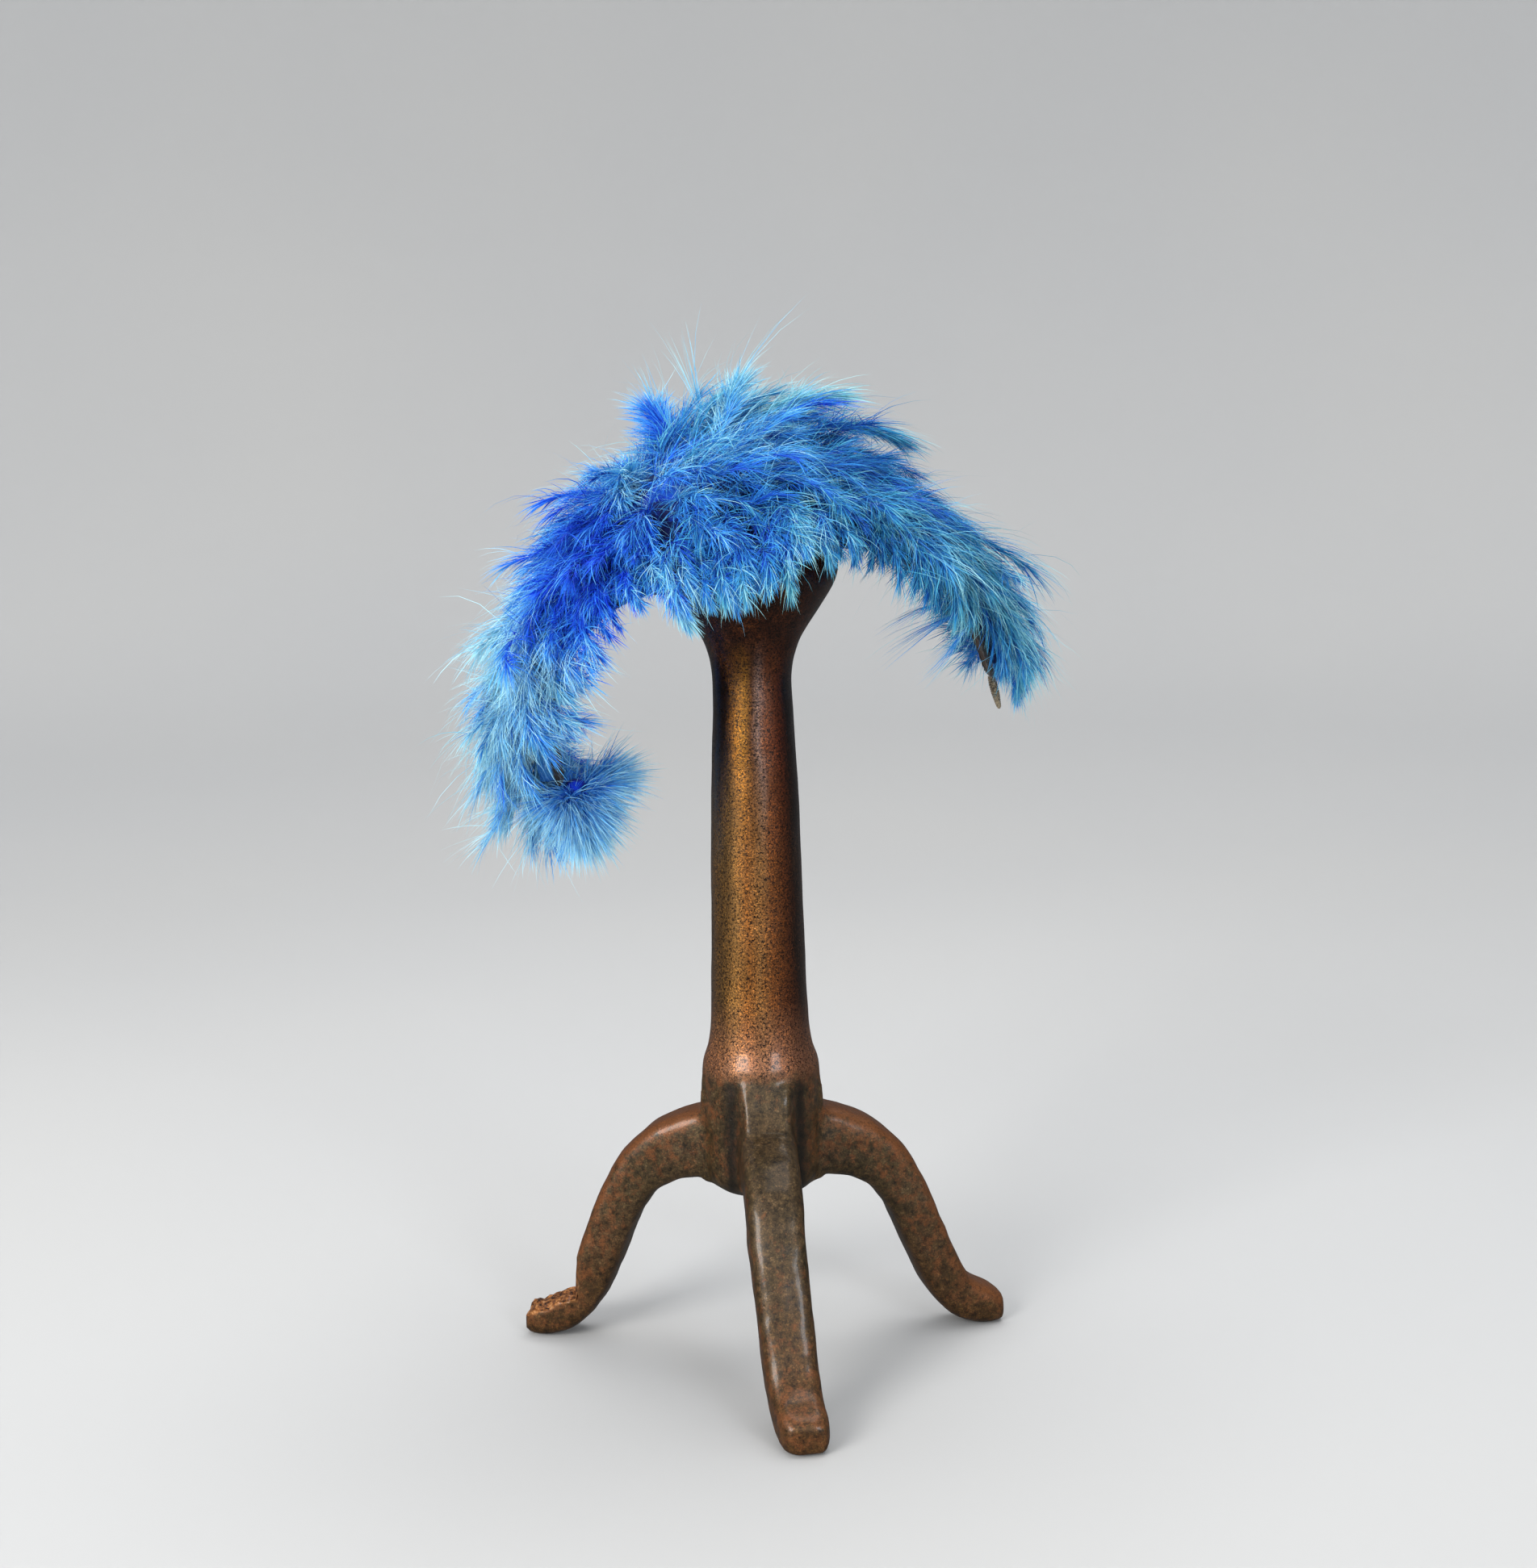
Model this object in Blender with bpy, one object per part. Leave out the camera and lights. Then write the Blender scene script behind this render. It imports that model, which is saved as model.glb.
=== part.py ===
"""Feather half hat, a crescent of marabou on a velvet-covered frame, laid over a cast iron stand.

Metres, +Z up, front towards -Y. The stand is turned about the Z axis while it is modelled, and at the
end the whole model is moved sideways so that the origin is below the middle of its bounding box.
"""
import math
import random

import bmesh
import bpy
import numpy as np

MM = 0.001
GAP = 0.3 * MM

# Stand
COLUMN_SIDES = 32
HEAD_RADIUS = 32.0
HEAD_WIDEST = 294.0
# radius and height, from the underside of the hub up to the top of the head
STAND_PROFILE = [
    {"radius": 12.0, "height": 61.5},
    {"radius": 17.5, "height": 63.0},
    {"radius": 20.6, "height": 66.5},
    {"radius": 21.6, "height": 72.0},
    {"radius": 21.9, "height": 104.0},
    {"radius": 21.7, "height": 110.5},
    {"radius": 19.4, "height": 116.0},
    {"radius": 18.3, "height": 123.0},
    {"radius": 17.6, "height": 137.0},
    {"radius": 17.0, "height": 168.0},
    {"radius": 16.2, "height": 205.0},
    {"radius": 15.6, "height": 221.0},
    {"radius": 14.7, "height": 240.0},
    {"radius": 14.3, "height": 252.0},
    {"radius": 15.2, "height": 259.0},
    {"radius": 17.6, "height": 266.0},
    {"radius": 21.8, "height": 272.5},
    {"radius": 26.6, "height": 279.6},
    {"radius": 30.0, "height": 285.0},
    {"radius": 31.6, "height": 289.0},
    {"radius": HEAD_RADIUS, "height": HEAD_WIDEST},
    {"radius": 31.3, "height": 299.0},
    {"radius": 28.8, "height": 303.2},
    {"radius": 25.0, "height": 305.0},
]
# turn from the front about the column, and how far the toe bends sideways
LEGS = [
    {"name": "left", "azimuth": -101.5, "toe_bend": 0.0},
    {"name": "front", "azimuth": 5.0, "toe_bend": 5.6},
    {"name": "right", "azimuth": 103.0, "toe_bend": 0.0},
]
BEND_START = 52.0
LEG_SIDES = 12
LEG_CORNER = 3.4
TOE_REACH = 93.2
# distance from the axis, mid height, depth, width, and how far the section leans forward
LEG_SECTIONS = [
    {"reach": 4.0, "height": 79.5, "depth": 27.0, "width": 21.5, "slope": 0.0},
    {"reach": 23.0, "height": 79.0, "depth": 26.5, "width": 21.0, "slope": 8.0},
    {"reach": 36.0, "height": 75.0, "depth": 23.0, "width": 20.6, "slope": 25.0},
    {"reach": 47.3, "height": 66.6, "depth": 19.5, "width": 20.2, "slope": 48.0},
    {"reach": 55.2, "height": 53.5, "depth": 17.4, "width": 19.8, "slope": 64.0},
    {"reach": 62.0, "height": 36.5, "depth": 16.8, "width": 19.4, "slope": 67.0},
    {"reach": 68.4, "height": 21.5, "depth": 16.4, "width": 19.0, "slope": 62.0},
    {"reach": 75.0, "height": 12.2, "depth": 15.6, "width": 18.4, "slope": 42.0},
    {"reach": 82.5, "height": 8.2, "depth": 16.4, "width": 17.6, "slope": 0.0},
    {"reach": 91.2, "height": 6.4, "depth": 12.8, "width": 16.6, "slope": 0.0},
    {"reach": TOE_REACH, "height": 5.8, "depth": 9.4, "width": 12.6, "slope": 0.0},
]
# side outline of the raised pad that carries a leg on the hub
PAD_WIDTH = 19.6
PAD_OUTLINE = [
    {"reach": 4.0, "height": 65.0},
    {"reach": 20.6, "height": 65.0},
    {"reach": 21.4, "height": 70.0},
    {"reach": 21.6, "height": 96.0},
    {"reach": 20.2, "height": 107.5},
    {"reach": 4.0, "height": 107.5},
]

# Hat frame, a strip of an egg-shaped shell: half width, half length and height of the egg
HEAD_HALF_WIDTH = 82.0
HEAD_HALF_LENGTH = 98.0
HEAD_HEIGHT = 82.0
FRAME_WALL = 1.9
FRAME_SPAN = 88.0
FRAME_STEPS = 32
FRAME_ROWS = 6
HAT_SIDE_SHIFT = 8.0
HAT_ROLL = 13.0
HAT_PITCH = 8.0
# the part of the egg that is searched for where it touches the stand, in degrees: low, high, places
SEAT_SEARCH_ALONG = (-60, 60, 121)
SEAT_SEARCH_ACROSS = (-40, 30, 71)
# angle from the top of the arch, then the front and back edges as angles across the shell
FRAME_EDGES = [
    {"angle": 0.0, "front": -37.0, "back": 21.0},
    {"angle": 12.0, "front": -34.5, "back": 20.5},
    {"angle": 24.0, "front": -24.0, "back": 19.0},
    {"angle": 40.0, "front": -15.5, "back": 15.0},
    {"angle": 58.0, "front": -10.0, "back": 10.5},
    {"angle": 74.0, "front": -5.5, "back": 7.0},
    {"angle": FRAME_SPAN, "front": -1.0, "back": 4.5},
    {"angle": 100.0, "front": 0.6, "back": 2.8},
]
BINDING_RADIUS = 1.15
BINDING_SIDES = 6
BINDING_GAP = 1.3 * GAP / MM
BINDING_DEPTH = FRAME_WALL / 2 + 0.1
SHARPEST_BISECTOR = 0.65
TIP_LENGTH = 12.5
TIP_RADII = (1.3, 1.6, 1.6, 1.25, 0.7)
TIP_SIDES = 8

# Feathers: the pad of down
FEATHER_SEED = 11
FEATHER_CLEARANCE = 0.45
EDGE_OVERHANG = 4.6
SEAM = 1.0
CELL = 9.0
CELL_ACROSS = 1.15
CROWN_SPAN = 38.0
CROWN_FADE = 36.0
CROWN_BULK = 22.0
CROWN_BULK_POWER = 1.2
CROWN_FRONT_THINNING = 3.0
ARM_BULK = 14.0
HEM_BULK = 0.62
HEM_ROUNDING = 0.8
PAD_END = 1.0
# shares across the crown where one row of feathers ends and the next begins, and half the seam there
ROW_JOINTS = (0.34, 0.67)
ROW_SEAM = 0.006

# Feathers: the locks, in mm from root to tip along the arch, across it and out from it
FLOW_FADE = 22.0
END_START = 60.0
SHOULDER_ANGLE = 34.0
SHOULDER_WIDTH = 12.0
LOCK_WAIST = 0.6
LOCK_TIP = 0.12
LOCK_LENGTHS = (0.72, 1.08)
LOCK_LEAN = {
    "outer": {"along": 19.0, "across": -13.0, "out": 20.0},
    "front": {"along": 10.0, "across": -15.0, "out": -7.0},
    "back": {"along": 10.0, "across": 14.0, "out": -2.0},
    "end": {"along": 24.0, "across": -2.0, "out": 2.0},
}
# what is added to that over the arms, at the curled left end, at the tapered right end and on the shoulders
LEAN_ON_ARMS = {"front": {"out": -9.0}, "back": {"out": -8.0}}
LEAN_AT_CURL = {"front": {"along": 6.0, "across": 4.0, "out": -15.0}}
LEAN_AT_TAPER = {"outer": {"out": -7.0}, "end": {"along": -4.0, "out": -6.0}}
LEAN_AT_SHOULDER = {"front": {"across": 5.0, "out": 6.0}}
# on the outer side of the pad: how the lean turns from front to back, and what the crown adds and takes
OUTER_ACROSS_TURN = 19.0
OUTER_ARM_SPREAD = 0.55
CROWN_BACK_RISE = 6.0
CROWN_FRONT_DROP = 11.0
CROWN_DROP_POWER = 1.5
# shares of the lean that a lock has reached at its waist
LOCK_BEND = {
    "outer": {"along": 0.42, "across": 0.42, "out": 0.6},
    "edge": {"along": 0.4, "across": 0.55, "out": 0.38},
}

# Feathers: the tuft at the left end
TUFT_RADIUS = 5.4
TUFT_SIDES = 8
TUFT_BANDS = 6
TUFT_TUCK = 0.6
TUFT_BARE_ABOVE = 0.45
TUFT_BARE_INSIDE = 0.6
TUFT_LENGTHS = (0.8, 1.1)
TUFT_WAIST_WIDTH = 1.1
TUFT_TIP_WIDTH = 0.24
# how far a lock's waist and tip lie from its root: spread from the head, under the frame, back along it
TUFT_WAIST = {"spread": 7.0, "under": 3.0, "return": 4.0}
TUFT_TIP = {"spread": 10.0, "under": 13.0, "return": 13.0}

# Finishes: base colour, roughness and metallic of each material
FINISHES = {
    "cast iron": {"colour": (0.085, 0.045, 0.022, 1.0), "roughness": 0.42, "metallic": 0.6},
    "brown velvet": {"colour": (0.022, 0.014, 0.012, 1.0), "roughness": 0.9, "metallic": 0.0},
    "wire covering": {"colour": (0.014, 0.012, 0.012, 1.0), "roughness": 0.8, "metallic": 0.0},
    "wire wrapping": {"colour": (0.11, 0.09, 0.06, 1.0), "roughness": 0.75, "metallic": 0.0},
    "royal blue feathers": {"colour": (0.022, 0.10, 0.62, 1.0), "roughness": 0.8, "metallic": 0.0},
    "sky blue feathers": {"colour": (0.10, 0.33, 0.80, 1.0), "roughness": 0.8, "metallic": 0.0},
    "teal blue feathers": {"colour": (0.12, 0.36, 0.62, 1.0), "roughness": 0.8, "metallic": 0.0},
}
SHARP_ANGLE = 35.0


def clear_scene():
    """Remove every object that a new file starts with."""
    for item in list(bpy.data.objects):
        bpy.data.objects.remove(item, do_unlink=True)


def principled(name):
    """A plain Principled material with the finish of that name."""
    finish = FINISHES[name]
    material = bpy.data.materials.new(name)
    material.use_nodes = True
    shader = material.node_tree.nodes["Principled BSDF"]
    shader.inputs["Base Color"].default_value = finish["colour"]
    shader.inputs["Roughness"].default_value = finish["roughness"]
    shader.inputs["Metallic"].default_value = finish["metallic"]
    material.diffuse_color = finish["colour"]
    return material


def mesh_object(name, vertices, faces, material, smooth=True):
    """A mesh object from points in millimetres."""
    mesh = bpy.data.meshes.new(name)
    points = (np.asarray(vertices, float) * MM).tolist()
    mesh.from_pydata(points, [], [tuple(int(i) for i in face) for face in faces])
    mesh.materials.append(material)
    item = bpy.data.objects.new(name, mesh)
    bpy.context.scene.collection.objects.link(item)
    shape = bmesh.new()
    shape.from_mesh(mesh)
    bmesh.ops.recalc_face_normals(shape, faces=shape.faces)
    shape.to_mesh(mesh)
    shape.free()
    if smooth:
        mesh.shade_smooth()
        mesh.set_sharp_from_angle(angle=math.radians(SHARP_ANGLE))
    return item


def ring_loft(rings):
    """Join closed rings of equally many points by quads, and close both ends."""
    sides = len(rings[0])
    vertices = [point for ring in rings for point in ring]
    faces = []
    for row in range(len(rings) - 1):
        for side in range(sides):
            after = (side + 1) % sides
            faces.append((row * sides + side, row * sides + after,
                          (row + 1) * sides + after, (row + 1) * sides + side))
    faces.append(tuple(reversed(range(sides))))
    faces.append(tuple((len(rings) - 1) * sides + side for side in range(sides)))
    return vertices, faces


def circle_ring(radius, height):
    """Points of a level circle about the Z axis."""
    turns = [2 * math.pi * side / COLUMN_SIDES for side in range(COLUMN_SIDES)]
    return [(radius * math.cos(turn), radius * math.sin(turn), height) for turn in turns]


def leg_directions(azimuth):
    """Outward and sideways, both level, for a leg that is turned from the front about the column."""
    turn = math.radians(azimuth)
    return np.array([math.sin(turn), -math.cos(turn), 0.0]), np.array([math.cos(turn), math.sin(turn), 0.0])


def leg_ring(section, leg):
    """A bar section with rounded corners, a superellipse, set across the leg's line."""
    outward, sideways = leg_directions(leg["azimuth"])
    slope = math.radians(section["slope"])
    over = outward * math.sin(slope) + np.array([0.0, 0.0, math.cos(slope)])
    bend = leg["toe_bend"] * max(0.0, section["reach"] - BEND_START) / (TOE_REACH - BEND_START)
    centre = outward * section["reach"] + sideways * bend + np.array([0.0, 0.0, section["height"]])
    points = []
    for side in range(LEG_SIDES):
        angle = 2 * math.pi * (side + 0.5) / LEG_SIDES
        across = math.copysign(abs(math.cos(angle)) ** (2 / LEG_CORNER), math.cos(angle))
        up = math.copysign(abs(math.sin(angle)) ** (2 / LEG_CORNER), math.sin(angle))
        widest = math.cos(math.pi / LEG_SIDES) ** (2 / LEG_CORNER)
        points.append(centre + sideways * across / widest * section["width"] / 2
                      + over * up / widest * section["depth"] / 2)
    return points


def pad_rings(azimuth):
    """The two side outlines of the raised pad that carries a leg on the hub."""
    outward, sideways = leg_directions(azimuth)
    upward = np.array([0.0, 0.0, 1.0])
    rings = []
    for side in (-0.5, 0.5):
        rings.append([outward * row["reach"] + sideways * side * PAD_WIDTH + upward * row["height"]
                      for row in PAD_OUTLINE])
    return rings


def fuse(target, tools):
    """Union the tools into the target, then remove them."""
    for tool in tools:
        union = target.modifiers.new("fuse " + tool.name, "BOOLEAN")
        union.operation = "UNION"
        union.solver = "EXACT"
        union.object = tool
        bpy.context.view_layer.update()
        evaluated = target.evaluated_get(bpy.context.evaluated_depsgraph_get())
        fused = bpy.data.meshes.new_from_object(evaluated)
        target.modifiers.remove(union)
        target.data = fused
        bpy.data.objects.remove(tool, do_unlink=True)


def build_stand(material):
    """Lathe the head, column and hub, and fuse the three legs and their pads to it."""
    rings = [circle_ring(row["radius"], row["height"]) for row in STAND_PROFILE]
    stand = mesh_object("stand", *ring_loft(rings), material)
    tools = []
    for leg in LEGS:
        bar = ring_loft([leg_ring(section, leg) for section in LEG_SECTIONS])
        pad = ring_loft(pad_rings(leg["azimuth"]))
        tools.append(mesh_object(leg["name"] + " leg", *bar, material))
        tools.append(mesh_object(leg["name"] + " pad", *pad, material))
    fuse(stand, tools)
    stand.data.shade_smooth()
    stand.data.set_sharp_from_angle(angle=math.radians(SHARP_ANGLE))
    return stand


def edge_angles(angle):
    """Front and back edge of the frame at an angle along the arch, both in degrees."""
    columns = {key: [row[key] for row in FRAME_EDGES] for key in ("angle", "front", "back")}
    front = np.interp(np.abs(angle), columns["angle"], columns["front"])
    back = np.interp(np.abs(angle), columns["angle"], columns["back"])
    return front, back


def shell_point(angle, across, height=0.0):
    """A point of the egg-shaped shell, lifted along its normal, and the three directions there.

    x = half width * cos(across) * sin(angle), y = half length * sin(across),
    z = height * cos(across) * cos(angle); the normal is the gradient of that ellipsoid.
    """
    along = np.radians(np.asarray(angle, float))
    over = np.radians(np.asarray(across, float))
    point = np.stack(np.broadcast_arrays(HEAD_HALF_WIDTH * np.cos(over) * np.sin(along),
                                         HEAD_HALF_LENGTH * np.sin(over),
                                         HEAD_HEIGHT * np.cos(over) * np.cos(along)), -1)
    scale = np.array([HEAD_HALF_WIDTH, HEAD_HALF_LENGTH, HEAD_HEIGHT]) ** 2
    normal = point / scale
    normal = normal / np.linalg.norm(normal, axis=-1, keepdims=True)
    forward = np.stack(np.broadcast_arrays(np.cos(along), 0.0 * along, -np.sin(along)), -1)
    forward = forward - normal * np.sum(forward * normal, -1, keepdims=True)
    forward = forward / np.linalg.norm(forward, axis=-1, keepdims=True)
    backward = np.cross(normal, forward)
    lifted = point + normal * np.asarray(height, float)[..., None]
    return lifted, forward, backward, normal


def hat_turn():
    """Rotation of the hat on the stand: it nods forward and its left end hangs lower."""
    nod = math.radians(HAT_PITCH)
    tip = math.radians(HAT_ROLL)
    about_x = np.array([[1, 0, 0], [0, math.cos(nod), -math.sin(nod)], [0, math.sin(nod), math.cos(nod)]])
    about_y = np.array([[math.cos(tip), 0, -math.sin(tip)], [0, 1, 0], [math.sin(tip), 0, math.cos(tip)]])
    return about_y @ about_x


def seat_height():
    """How high the middle of the egg stands so that the frame rests on the head of the stand."""
    angle, across = np.meshgrid(np.linspace(*SEAT_SEARCH_ALONG), np.linspace(*SEAT_SEARCH_ACROSS),
                                indexing="ij")
    inner = shell_point(angle, across, np.full(angle.shape, -FRAME_WALL))[0] @ hat_turn().T
    inner = inner + np.array([HAT_SIDE_SHIFT, 0.0, 0.0])
    reach = np.hypot(inner[..., 0], inner[..., 1])
    dome = [row for row in reversed(STAND_PROFILE) if row["height"] >= HEAD_WIDEST]
    head = np.interp(reach, [row["radius"] for row in dome], [row["height"] for row in dome])
    over_head = reach < HEAD_RADIUS
    return float(np.max((head - inner[..., 2])[over_head])) + GAP / MM


def place_hat(points):
    """Turn points of the hat and set them on the stand."""
    return np.asarray(points) @ hat_turn().T + np.array([HAT_SIDE_SHIFT, 0.0, seat_height()])


def slab(outer, inner):
    """A closed slab between two grids of points: vertices, and faces by side."""
    steps, rows = outer.shape[:2]
    vertices = np.concatenate([outer.reshape(-1, 3), inner.reshape(-1, 3)])
    low = steps * rows

    def at(step, row):
        return step * rows + row

    faces = {"outer": [], "inner": [], "front": [], "back": [], "start": [], "end": []}
    for step in range(steps - 1):
        for row in range(rows - 1):
            quad = (at(step, row), at(step + 1, row), at(step + 1, row + 1), at(step, row + 1))
            faces["outer"].append(quad)
            faces["inner"].append(tuple(low + corner for corner in reversed(quad)))
        for row, side in ((0, "front"), (rows - 1, "back")):
            quad = (at(step, row), low + at(step, row), low + at(step + 1, row), at(step + 1, row))
            faces[side].append(quad if side == "front" else tuple(reversed(quad)))
    for row in range(rows - 1):
        for step, side in ((0, "start"), (steps - 1, "end")):
            quad = (at(step, row), at(step, row + 1), low + at(step, row + 1), low + at(step, row))
            faces[side].append(quad if side == "start" else tuple(reversed(quad)))
    return vertices, faces


def build_frame(material):
    """The velvet-covered crescent, a thin curved wall."""
    angle = np.linspace(-FRAME_SPAN, FRAME_SPAN, FRAME_STEPS + 1)[:, None]
    front, back = edge_angles(angle)
    across = front + (back - front) * np.linspace(0.0, 1.0, FRAME_ROWS + 1)[None, :]
    angle = np.broadcast_to(angle, across.shape)
    outer = shell_point(angle, across, np.zeros(across.shape))[0]
    inner = shell_point(angle, across, np.full(across.shape, -FRAME_WALL))[0]
    vertices, faces = slab(outer, inner)
    return mesh_object("velvet_frame", place_hat(vertices), sum(faces.values(), []), material)


def binding_path():
    """Points round the edge of the frame, half a wire and a gap outside it, and the shell's normal there.

    Each point of the frame's outline moves outwards by the offset, along the bisector of its two edges.
    """
    arch = np.linspace(-FRAME_SPAN, FRAME_SPAN, FRAME_STEPS + 1)
    front, back = edge_angles(arch)
    points, _, _, normal = shell_point(np.concatenate([arch, arch[::-1]]),
                                       np.concatenate([front, back[::-1]]),
                                       np.full(2 * len(arch), -BINDING_DEPTH))
    after = np.roll(points, -1, 0) - points
    after = after / np.linalg.norm(after, axis=1, keepdims=True)
    before = np.roll(after, 1, 0)
    bisector = np.cross(after, normal) + np.cross(before, normal)
    bisector = bisector / np.linalg.norm(bisector, axis=1, keepdims=True)
    half_turn = np.sum(bisector * np.cross(after, normal), 1)
    offset = (BINDING_RADIUS + BINDING_GAP) / np.clip(half_turn, SHARPEST_BISECTOR, 1.0)
    outward = -1.0 if np.sum(bisector[0] * (points[0] - points[len(arch) // 2])) < 0 else 1.0
    return points + bisector * outward * offset[:, None], normal


def build_binding(material):
    """A covered wire carried round the edge of the frame as one closed loop."""
    points, normal = binding_path()
    ahead = np.roll(points, -1, 0) - np.roll(points, 1, 0)
    ahead = ahead / np.linalg.norm(ahead, axis=1, keepdims=True)
    side = np.cross(ahead, normal)
    side = side / np.linalg.norm(side, axis=1, keepdims=True)
    over = np.cross(side, ahead)
    turns = np.arange(BINDING_SIDES) * 2 * math.pi / BINDING_SIDES
    rings = (points[:, None, :] + BINDING_RADIUS * (np.cos(turns)[None, :, None] * side[:, None, :]
                                                    + np.sin(turns)[None, :, None] * over[:, None, :]))
    faces = []
    for step in range(len(points)):
        after = (step + 1) % len(points)
        for turn in range(BINDING_SIDES):
            beside = (turn + 1) % BINDING_SIDES
            faces.append((step * BINDING_SIDES + turn, step * BINDING_SIDES + beside,
                          after * BINDING_SIDES + beside, after * BINDING_SIDES + turn))
    return mesh_object("edge_binding", place_hat(rings.reshape(-1, 3)), faces, material)


def build_tip(material):
    """The wrapped wire end that stands out past the right end of the frame."""
    offset = 2 * (BINDING_RADIUS + BINDING_GAP)
    front, back = edge_angles(FRAME_SPAN)
    start, ahead, backward, normal = shell_point(FRAME_SPAN, (front + back) / 2, -BINDING_DEPTH)
    turns = np.arange(TIP_SIDES) * 2 * math.pi / TIP_SIDES
    rings = []
    for number, radius in enumerate(TIP_RADII):
        centre = start + ahead * (offset + TIP_LENGTH * number / (len(TIP_RADII) - 1))
        rings.append([centre + radius * (math.cos(turn) * backward + math.sin(turn) * normal)
                      for turn in turns])
    vertices, faces = ring_loft(rings)
    return mesh_object("wire_end_tip", place_hat(vertices), faces, material)


def crown_share(angle):
    """1 over the crown, fading to 0 along the arms."""
    return np.exp(-(np.asarray(angle, float) / CROWN_FADE) ** 2)


def down_height(angle, share):
    """Depth of the down layer: share runs from 0 at the front edge to 1 at the back edge."""
    inside = np.clip(share, 0.0, 1.0)
    rounding = HEM_BULK + (1.0 - HEM_BULK) * np.sin(np.pi * inside) ** HEM_ROUNDING
    lift = CROWN_BULK * crown_share(angle) * inside ** CROWN_BULK_POWER
    arm = ARM_BULK - CROWN_FRONT_THINNING * crown_share(angle) * (1.0 - share)
    return arm * rounding + lift


def feather_cell(angle, share, height_share):
    """Place in the down layer of an angle along the arch and a share across it."""
    front, back = edge_angles(angle)
    over = np.degrees(EDGE_OVERHANG / HEAD_HALF_LENGTH)
    across = front - over + (back - front + 2 * over) * share
    top = down_height(angle, share)
    height = FEATHER_CLEARANCE + (top - FEATHER_CLEARANCE) * height_share
    return shell_point(angle, across, height)


def lean(angle, share, side):
    """How far the tip of a lock lies from its root: along the arch, across it, and out from it."""
    crown = float(crown_share(angle))
    near_end = max(0.0, (abs(angle) - END_START) / (FRAME_SPAN - END_START))
    places = [
        (LEAN_ON_ARMS, 1.0 - crown),
        (LEAN_AT_CURL, near_end * (angle < 0.0)),
        (LEAN_AT_TAPER, near_end * (angle > 0.0)),
        (LEAN_AT_SHOULDER, math.exp(-((abs(angle) - SHOULDER_ANGLE) / SHOULDER_WIDTH) ** 2)),
    ]
    kind = "end" if side == "start" else side
    total = dict(LOCK_LEAN[kind])
    for table, amount in places:
        for way, added in table.get(kind, {}).items():
            total[way] += added * amount
    if side == "outer":
        total["across"] += OUTER_ACROSS_TURN * share
        total["across"] *= OUTER_ARM_SPREAD + (1.0 - OUTER_ARM_SPREAD) * crown
        total["out"] -= CROWN_FRONT_DROP * crown * (1.0 - share) ** CROWN_DROP_POWER
        total["out"] += CROWN_BACK_RISE * crown * share
    return total["along"] * math.tanh(angle / FLOW_FADE), total["across"], total["out"]


def grow_lock(vertices, faces, quad, waist, tip, widths):
    """Add a lock to a face: a ring at its waist and a small blunt tip, moved and scaled from the face."""
    corners = np.array([vertices[corner] for corner in quad])
    middle = corners.mean(0)
    first = len(vertices)
    vertices += [middle + waist + (corner - middle) * widths[0] for corner in corners]
    vertices += [middle + tip + (corner - middle) * widths[1] for corner in corners]
    for base, ring in ((list(quad), first), (list(range(first, first + 4)), first + 4)):
        for corner in range(4):
            after = (corner + 1) % 4
            faces.append((base[corner], base[after], ring + after, ring + corner))
    faces.append(tuple(range(first + 4, first + 8)))


def add_locks(vertices, faces, cells, draw):
    """Grow a tapered, bent lock from each listed face, leaning as its place and side say."""
    vertices = list(vertices)
    for quad, angle, share, side in cells:
        front, back = edge_angles(angle)
        _, forward, backward, normal = shell_point(angle, front + (back - front) * share, 0.0)
        along, across, out = lean(angle, share, side)
        length = draw.uniform(*LOCK_LENGTHS)
        bend = LOCK_BEND["outer" if side == "outer" else "edge"]
        tip = (forward * along + backward * across + normal * out) * length
        waist = (forward * along * bend["along"] + backward * across * bend["across"]
                 + normal * out * bend["out"]) * length
        grow_lock(vertices, faces, quad, waist, tip, (LOCK_WAIST, LOCK_TIP))
    return vertices, faces


def build_feathers(name, span, shares, free_sides, material, draw):
    """One group of feathers: a curved pad of down with locks on its open sides."""
    front, back = edge_angles(np.mean(span))
    width = np.radians(back - front) * HEAD_HALF_LENGTH + 2 * EDGE_OVERHANG
    steps = max(2, round(math.radians(span[1] - span[0]) * (HEAD_HEIGHT + ARM_BULK) / CELL))
    rows = max(2, round(float(width) * (shares[1] - shares[0]) * CELL_ACROSS / CELL))
    angle = np.linspace(*span, steps + 1)[:, None]
    share = np.linspace(*shares, rows + 1)[None, :]
    angle, share = np.broadcast_arrays(angle, share)
    outer = feather_cell(angle, share, np.ones(angle.shape))[0]
    inner = feather_cell(angle, share, np.zeros(angle.shape))[0]
    vertices, sides = slab(outer, inner)
    faces = list(sides["inner"])
    cells = []
    for side, quads in sides.items():
        if side == "inner":
            continue
        for quad in quads:
            if side != "outer" and side not in free_sides:
                faces.append(quad)
                continue
            places = [corner % angle.size for corner in quad]
            here = float(np.mean(angle.reshape(-1)[places]))
            there = float(np.mean(share.reshape(-1)[places]))
            cells.append((quad, here, there, side))
    vertices, faces = add_locks(vertices, faces, cells, draw)
    return mesh_object(name, place_hat(vertices), faces, material, smooth=False)


def tuft_head():
    """Middle of the tuft's head, just past and inside the left end of the frame, and the directions there."""
    front, back = edge_angles(FRAME_SPAN)
    beyond = 2 * BINDING_RADIUS + BINDING_GAP + TUFT_RADIUS - TUFT_TUCK
    angle = -FRAME_SPAN - math.degrees(beyond / HEAD_HEIGHT)
    return shell_point(angle, (front + back) / 2, -TUFT_RADIUS)


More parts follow.
